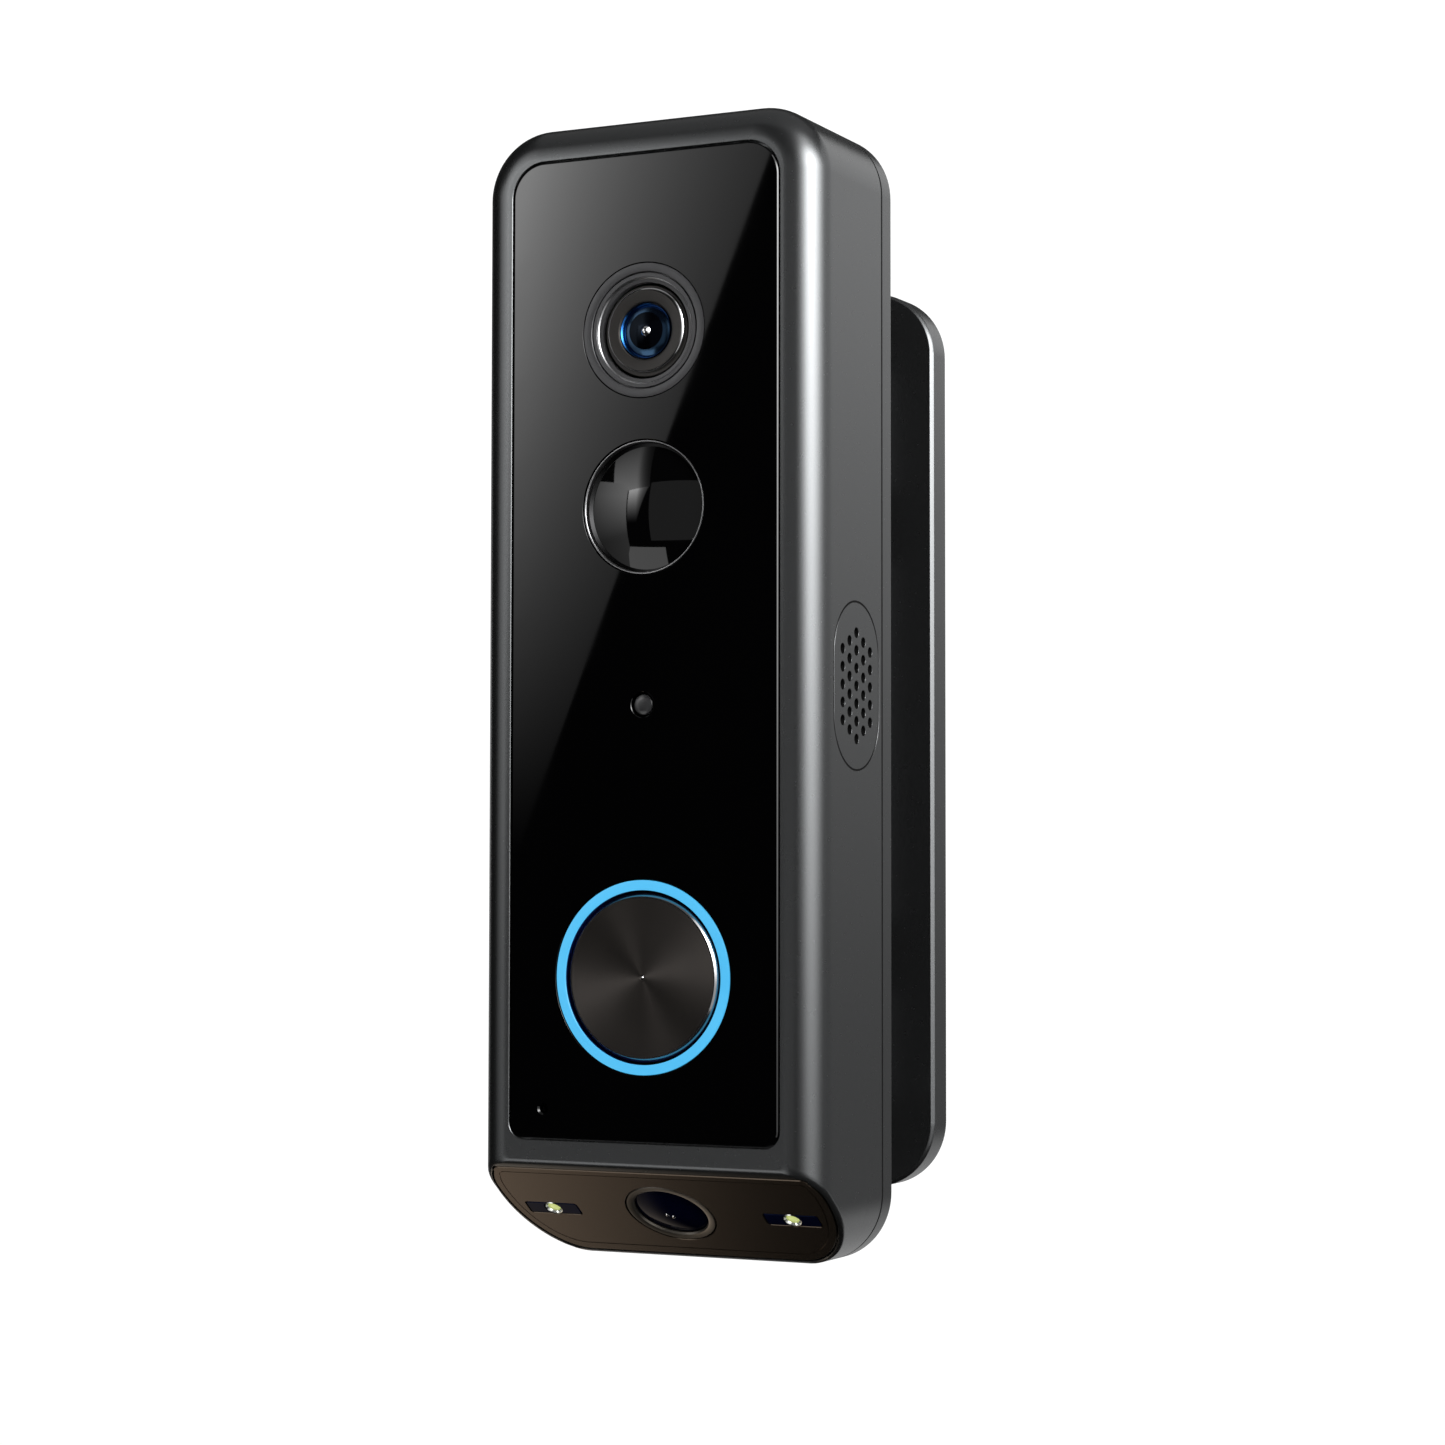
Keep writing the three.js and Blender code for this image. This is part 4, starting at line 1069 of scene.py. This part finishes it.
def usb_socket():
    low, high = box_in_body("usb_socket")
    x, z, half_length = spot_of("usb_socket")
    half_height = (high.z - low.z) / 2
    outside, eased, inside, mouth = [
        sideways_oblong(x, z, half_length - inset, half_height - inset) for inset in (0, 0.1, 0.4, 0.15)
    ]
    shell = loft("usb_socket_shell", [(low.y, outside), (high.y - 0.1, outside), (high.y, eased)])
    combine(shell, [
        loft("socket_inside", [(low.y + 2, inside), (high.y - 0.25, inside), (high.y + 0.1, mouth)]),
    ])
    tongue_x, tongue_z = 3.3, 0.35
    tongue = block((x - tongue_x, low.y + 1, z - tongue_z), (x + tongue_x, high.y - 1, z + tongue_z))
    combine(shell, [tongue], "UNION")
    dress(shell, steel, "usb_socket")


def reset_button():
    x, z, flange = spot_of("reset_button")
    low, high = box_in_body("reset_button")
    stem = 1.5
    flange_start, flange_end = 20.4, 21.4
    dress(turned("reset_button_plunger", [
        (0, low.y), (stem - 0.1, low.y), (stem, low.y + 0.1), (stem, flange_start), (flange, flange_start),
        (flange, flange_end), (stem, flange_end), (stem, high.y - 0.2), (1.3, high.y), (0.8, high.y - 0.1),
        (0, high.y - 0.2),
    ], x, z, SMALL_STEPS), dark_plastic, "reset_button", "reset_plunger")


back_cover()
screws("cover_screw", PORT_FLOOR, "doorbell")
port_cover()
usb_socket()
reset_button()

# ---- wall bracket

PLATE_LOW, PLATE_HIGH = box_in_body("wall_plate")
PLATE_RADIUS = 9.0
PLATE_MIDDLE = (PLATE_LOW.z + PLATE_HIGH.z) / 2
WALL_HOLE_OFFSET = 30.0
WALL_HOLE_RADIUS = 2.4
BLOCK_SCREW_X = 9.5
BLOCK_SCREW_OFFSET = 45.0
BLOCK_SCREW_HEAD = 1.7       # height of the screw's head


def plate_outline(inset):
    return grown(PLATE_LOW, PLATE_HIGH, -inset, PLATE_RADIUS)


def bracket_holes(wall_ends, screw_holes):
    """Cutters for the two wall holes and the four screws. A hole is (radius, bottom, surface, edge)."""
    cutters = []
    for end in (-1, 1):
        cutters.append(rear_hole(0, PLATE_MIDDLE + end * WALL_HOLE_OFFSET, WALL_HOLE_RADIUS, *wall_ends))
        for side in (-1, 1):
            place = (side * BLOCK_SCREW_X, PLATE_MIDDLE + end * BLOCK_SCREW_OFFSET)
            cutters += [rear_hole(*place, *size) for size in screw_holes]
    return cutters


def wall_plate():
    front, back = PLATE_LOW.y, PLATE_HIGH.y
    edge, ease = 0.42, 0.06      # the bevel of the front rim, and how its corners are softened
    plate = loft("wall_plate_panel", [
        (front, plate_outline(edge + ease)), (front + 0.02, plate_outline(edge)),
        (front + edge, plate_outline(0.02)), (front + edge + ease, plate_outline(0)),
    ] + rear_edge(plate_outline, back, 0.5, 5))
    shank, head = (1.6, front - 1, back - 1, 0), (3.1, back - 2.2, back, 0.15)
    combine(plate, bracket_holes((front - 1, back, 0.15), (shank, head)))
    dress(plate, graphite, "wall_plate", "bracket")


def hook(height, front, tip_front, half_width):
    """A hook that reaches forwards from the block and then up, with its edges eased."""
    thickness, rise, ease = 3.0, 5.0, 0.25
    tip_back = tip_front + 2.0
    neck_top = height + thickness
    profile = [
        (tip_front + ease, height), (front + 0.5, height), (front + 0.5, neck_top), (tip_back, neck_top),
        (tip_back, neck_top + rise - ease), (tip_back - ease, neck_top + rise),
        (tip_front + 0.6, neck_top + rise), (tip_front, neck_top + rise - 1), (tip_front, height + ease),
    ]
    sides = [(HALF_WIDTH + x, profile) for x in (-half_width, half_width)]
    return moved(loft("hook", sides), SIDE_IN_BODY)


def mount_block():
    low, high = box_in_body("mount_block")
    front, back = DEPTH + 0.4, high.y
    radius, edge = 5.0, 0.6

    def outline(inset):
        return grown(low, high, -inset, radius)

    piece = loft("mount_block_body", [
        (front, outline(edge)), (front + 0.18, outline(0.18)), (front + edge, outline(0)), (back, outline(0)),
    ])
    hooks = [hook(height, front, low.y, HOOK_HALF - 0.4) for height in HOOK_HEIGHTS]
    combine(piece, hooks, "UNION")
    reach, channel_half, web = high.x + 1, 5.2, 2.2
    channels = []
    for end in (-1, 1):
        height = PLATE_MIDDLE + end * WALL_HOLE_OFFSET
        channels.append(block(
            (-reach, front - 1, height - channel_half), (reach, back - web, height + channel_half),
        ))
    combine(piece, channels + bracket_holes((front, back, 0), [(1.4, front + 4, back, 0)]))
    dress(piece, dark_plastic, "mount_block", "bracket")


wall_plate()
mount_block()
screws("block_screw", box_in_body("block_screw_1")[1].y - BLOCK_SCREW_HEAD, "bracket")

# ---- CAD pieces that keep their shape

CAD_LOOKS = (
    (board_green, ["main_board", "camera_board", "usb_board", "led_board_left", "led_board_right"]),
    (chip_black, ["light_sensor", "button_switch", "reset_switch", "lower_camera_module"]),
    (steel, ["pir_sensor", "microphone", "processor_shield"]),
    (white_plastic, ["ring_led_1", "ring_led_2", "ring_led_3", "ring_led_4", "battery_connector"]),
    (silicone, ["button_seal", "speaker_gasket", "housing_seal"]),
    (dark_plastic, ["battery_tray", "speaker"]),
    (battery_blue, ["battery_pack"]),
    (copper, ["antenna"]),
    (wire_red, ["battery_lead"]),
)

for look, nodes in CAD_LOOKS:
    for node in nodes:
        materials = frame["nodes"][node].data.materials
        materials.clear()
        materials.append(look.material)

# ---- studio

CAMERA_TARGET = BODY @ Vector((11.545, 0, 70.26))
CAMERA_DISTANCE = 0.41928
CAMERA_YAW = math.radians(26.09)
CAMERA_PITCH = math.radians(2.654)
CAMERA_ROLL = math.radians(0.08)
CAMERA_LENS = 81.744
FLOOR_HEIGHT = -0.62


def make_camera():
    data = bpy.data.cameras.new("camera")
    data.lens = CAMERA_LENS
    data.sensor_width = 36
    data.clip_start = 0.01
    data.clip_end = 20
    camera = bpy.data.objects.new("camera", data)
    bpy.context.scene.collection.objects.link(camera)
    turn = (
        Matrix.Rotation(CAMERA_YAW, 4, "Z")
        @ Matrix.Rotation(math.pi / 2 + CAMERA_PITCH, 4, "X")
        @ Matrix.Rotation(CAMERA_ROLL, 4, "Z")
    )
    away = turn.to_3x3() @ Vector((0, 0, 1))
    camera.matrix_world = Matrix.Translation(CAMERA_TARGET + away * CAMERA_DISTANCE) @ turn
    bpy.context.scene.camera = camera


def around(azimuth, distance, height):
    """A point at an azimuth round the doorbell, counted in degrees from the front towards the right."""
    angle = math.radians(azimuth)
    return (distance * math.sin(angle), -distance * math.cos(angle), height)


def card_glow(name, strength):
    """A material that glows by the colours stored at the card's points."""
    material = bpy.data.materials.new(name)
    material.use_nodes = True
    tree = material.node_tree
    tree.nodes.clear()
    reader = add_node(tree, "ShaderNodeAttribute")
    reader.attribute_name = "level"
    glow = add_node(tree, "ShaderNodeEmission", Color=reader.outputs["Color"], Strength=strength)
    add_node(tree, "ShaderNodeOutputMaterial", Surface=glow.outputs["Emission"])
    return material


def card(name, corners, level, tint=(1, 1, 1)):
    """A flat light card. Its corners run lower left, lower right, upper right, upper left; level gives
    the brightness at a point."""
    rows = 20
    low_left, low_right, high_right, high_left = [Vector(c) for c in corners]
    vertices = []
    levels = []
    for i in range(rows + 1):
        for j in range(rows + 1):
            u, v = j / rows, i / rows
            point = low_left.lerp(low_right, u).lerp(high_left.lerp(high_right, u), v)
            vertices.append(point)
            levels.append(level(point))
    faces = []
    for i in range(rows):
        for j in range(rows):
            a = i * (rows + 1) + j
            faces.append([a, a + 1, a + rows + 2, a + rows + 1])
    piece = mesh_object(name, vertices, faces)
    # The strength is one constant per card, so that the bright cards are sampled more than the dim ones.
    peak = max(levels)
    colors = [channel * value / peak for value in levels for channel in (*tint, 1.0)]
    attribute = piece.data.attributes.new("level", "FLOAT_COLOR", "POINT")
    attribute.data.foreach_set("color", colors)
    piece.data.materials.append(card_glow(name, peak))
    piece.visible_camera = False


def ramp_up(value, low, high, power):
    """0 below low, 1 above high and a power curve between."""
    return min(1.0, max(0.0, (value - low) / (high - low))) ** power


def bell(value, middle, before, after):
    """1 at the middle, falling off smoothly over different spans before and after it."""
    span = before if value < middle else after
    return math.exp(-0.5 * ((value - middle) / span) ** 2)


def rear_low_part(point):
    """Extra light low down behind the object, which only its rear faces reflect."""
    return 0.45 * ramp_up(-point.z, 0.17, 0.3, 1)


def azimuth_of(point):
    return math.degrees(math.atan2(point.x, -point.y))


def upright_card(name, start, end, distance, level, high=0.6):
    """A light card between two azimuths."""
    low = -0.35
    card(name, [
        around(start, distance, low), around(end, distance, low),
        around(end, distance, high), around(start, distance, high),
    ], level)


def square_card(name, left, right, lower, upper, level, tint=(1, 1, 1)):
    """A light card between two x, from its lower edge to its upper one, which are given as (y, z)."""
    card(name, [(left, *lower), (right, *lower), (right, *upper), (left, *upper)], level, tint)


def make_lights():
    # The main softbox stands front left. The glass shows its slanted right edge, and how it fades
    # downwards and to the right.
    wall = -0.643

    def sideways_fade(point):
        return min(1.3, math.exp(23.5 * (-0.352 - point.x)))

    card("softbox_left", [
        (-0.47, wall, -0.025), (-0.366, wall, -0.025), (-0.253, wall, 0.25), (-0.47, wall, 0.25),
    ], lambda point: 4.5 * ((point.z + 0.025) / 0.25) ** 2 * sideways_fade(point))
    square_card(
        "softbox_above_left", -0.7, -0.24, (wall, 0.25), (-0.42, 0.62),
        lambda point: 2.3 * sideways_fade(point) * (1 - ramp_up(point.z, 0.25, 0.66, 0.8)),
    )

    def side_level(point):
        rising = 0.55 + 2.1 * ramp_up(point.z, -0.1, 0.2, 1)
        return rising * (1 - 0.8 * ramp_up(-point.x, 0.48, 0.74, 1))

    upright_card("softbox_side_left", -68, -37, 0.8, side_level, high=0.3)

    # The right strip draws the highlight down the body's right edge, brightest above the middle.
    def strip_level(point):
        rising = 0.9 + 16.5 * ramp_up(point.z, -0.12, 0.18, 2)
        falling = 1 - 0.85 * ramp_up(point.z, 0.3, 0.5, 1)
        return rising * falling * bell(azimuth_of(point), 62, 14, 21)

    upright_card("softbox_right", 16, 112, 0.75, strip_level, high=0.8)
    upright_card(
        "softbox_rear_right", 112, 178, 0.8,
        lambda point: 0.17 + 0.78 * ramp_up(point.z, -0.1, 0.22, 1.5) + rear_low_part(point),
    )
    upright_card(
        "softbox_rear_left", -170, -115, 0.9,
        lambda point: 0.06 + 0.6 * bell(point.z, 0.05, 0.12, 0.07) + rear_low_part(point),
    )
    square_card("softbox_rear_low", -0.7, 0.4, (0.9, -0.9), (0.9, -0.2), lambda point: 0.6)
    # The front card is only seen by the domes and, softly, by the rim.
    square_card("front_card", -0.23, 0.16, (wall, -0.15), (wall, 0.28), lambda point: 0.26)
    square_card("front_low_card", -0.5, -0.12, (-0.5, -0.45), (wall, -0.2), lambda point: 1.5)
    # The low card behind the chin is bright on the left only, so the chin darkens to the right.
    low = -0.31
    square_card(
        "chin_card", -0.36, -0.1, (0.22, low), (-0.08, low),
        lambda point: 0.9 * ramp_up(-point.x, 0.115, 0.2, 1.3), (1.0, 0.85, 0.7),
    )
    square_card("softbox_top", -0.5, 0.5, (0.5, 0.8), (-0.5, 0.8), lambda point: 0.22)


def make_floor():
    """A wide pale floor well below the doorbell, which hangs above it."""
    size = 4.0
    corners = ((-1, -1), (1, -1), (1, 1), (-1, 1))
    floor = mesh_object("floor", [(x * size, y * size, FLOOR_HEIGHT) for x, y in corners], [[0, 1, 2, 3]])
    look = Look("floor_pale", (0.9, 0.9, 0.9), 0.6)
    look.vary_color(look.noise(1.5), 0.01)
    look.set(Emission_Color=(1, 1, 1, 1), Emission_Strength=1.0)
    floor.data.materials.append(look.material)
    floor.visible_glossy = False
    floor.visible_diffuse = False


def make_world():
    """White behind the object for the camera, and a dim surround for reflections."""
    world = bpy.data.worlds.new("studio")
    bpy.context.scene.world = world
    world.use_nodes = True
    tree = world.node_tree
    tree.nodes.clear()
    path = add_node(tree, "ShaderNodeLightPath")
    mix = add_node(tree, "ShaderNodeMixShader", Fac=path.outputs["Is Camera Ray"])
    for socket, strength in ((1, 0.01), (2, 1.1)):
        background = add_node(tree, "ShaderNodeBackground", Color=(1, 1, 1, 1), Strength=strength)
        put(tree, mix.inputs[socket], background.outputs["Background"])
    add_node(tree, "ShaderNodeOutputWorld", Surface=mix.outputs["Shader"])


make_camera()
make_floor()
make_world()
make_lights()
bpy.context.scene.view_settings.view_transform = "Standard"
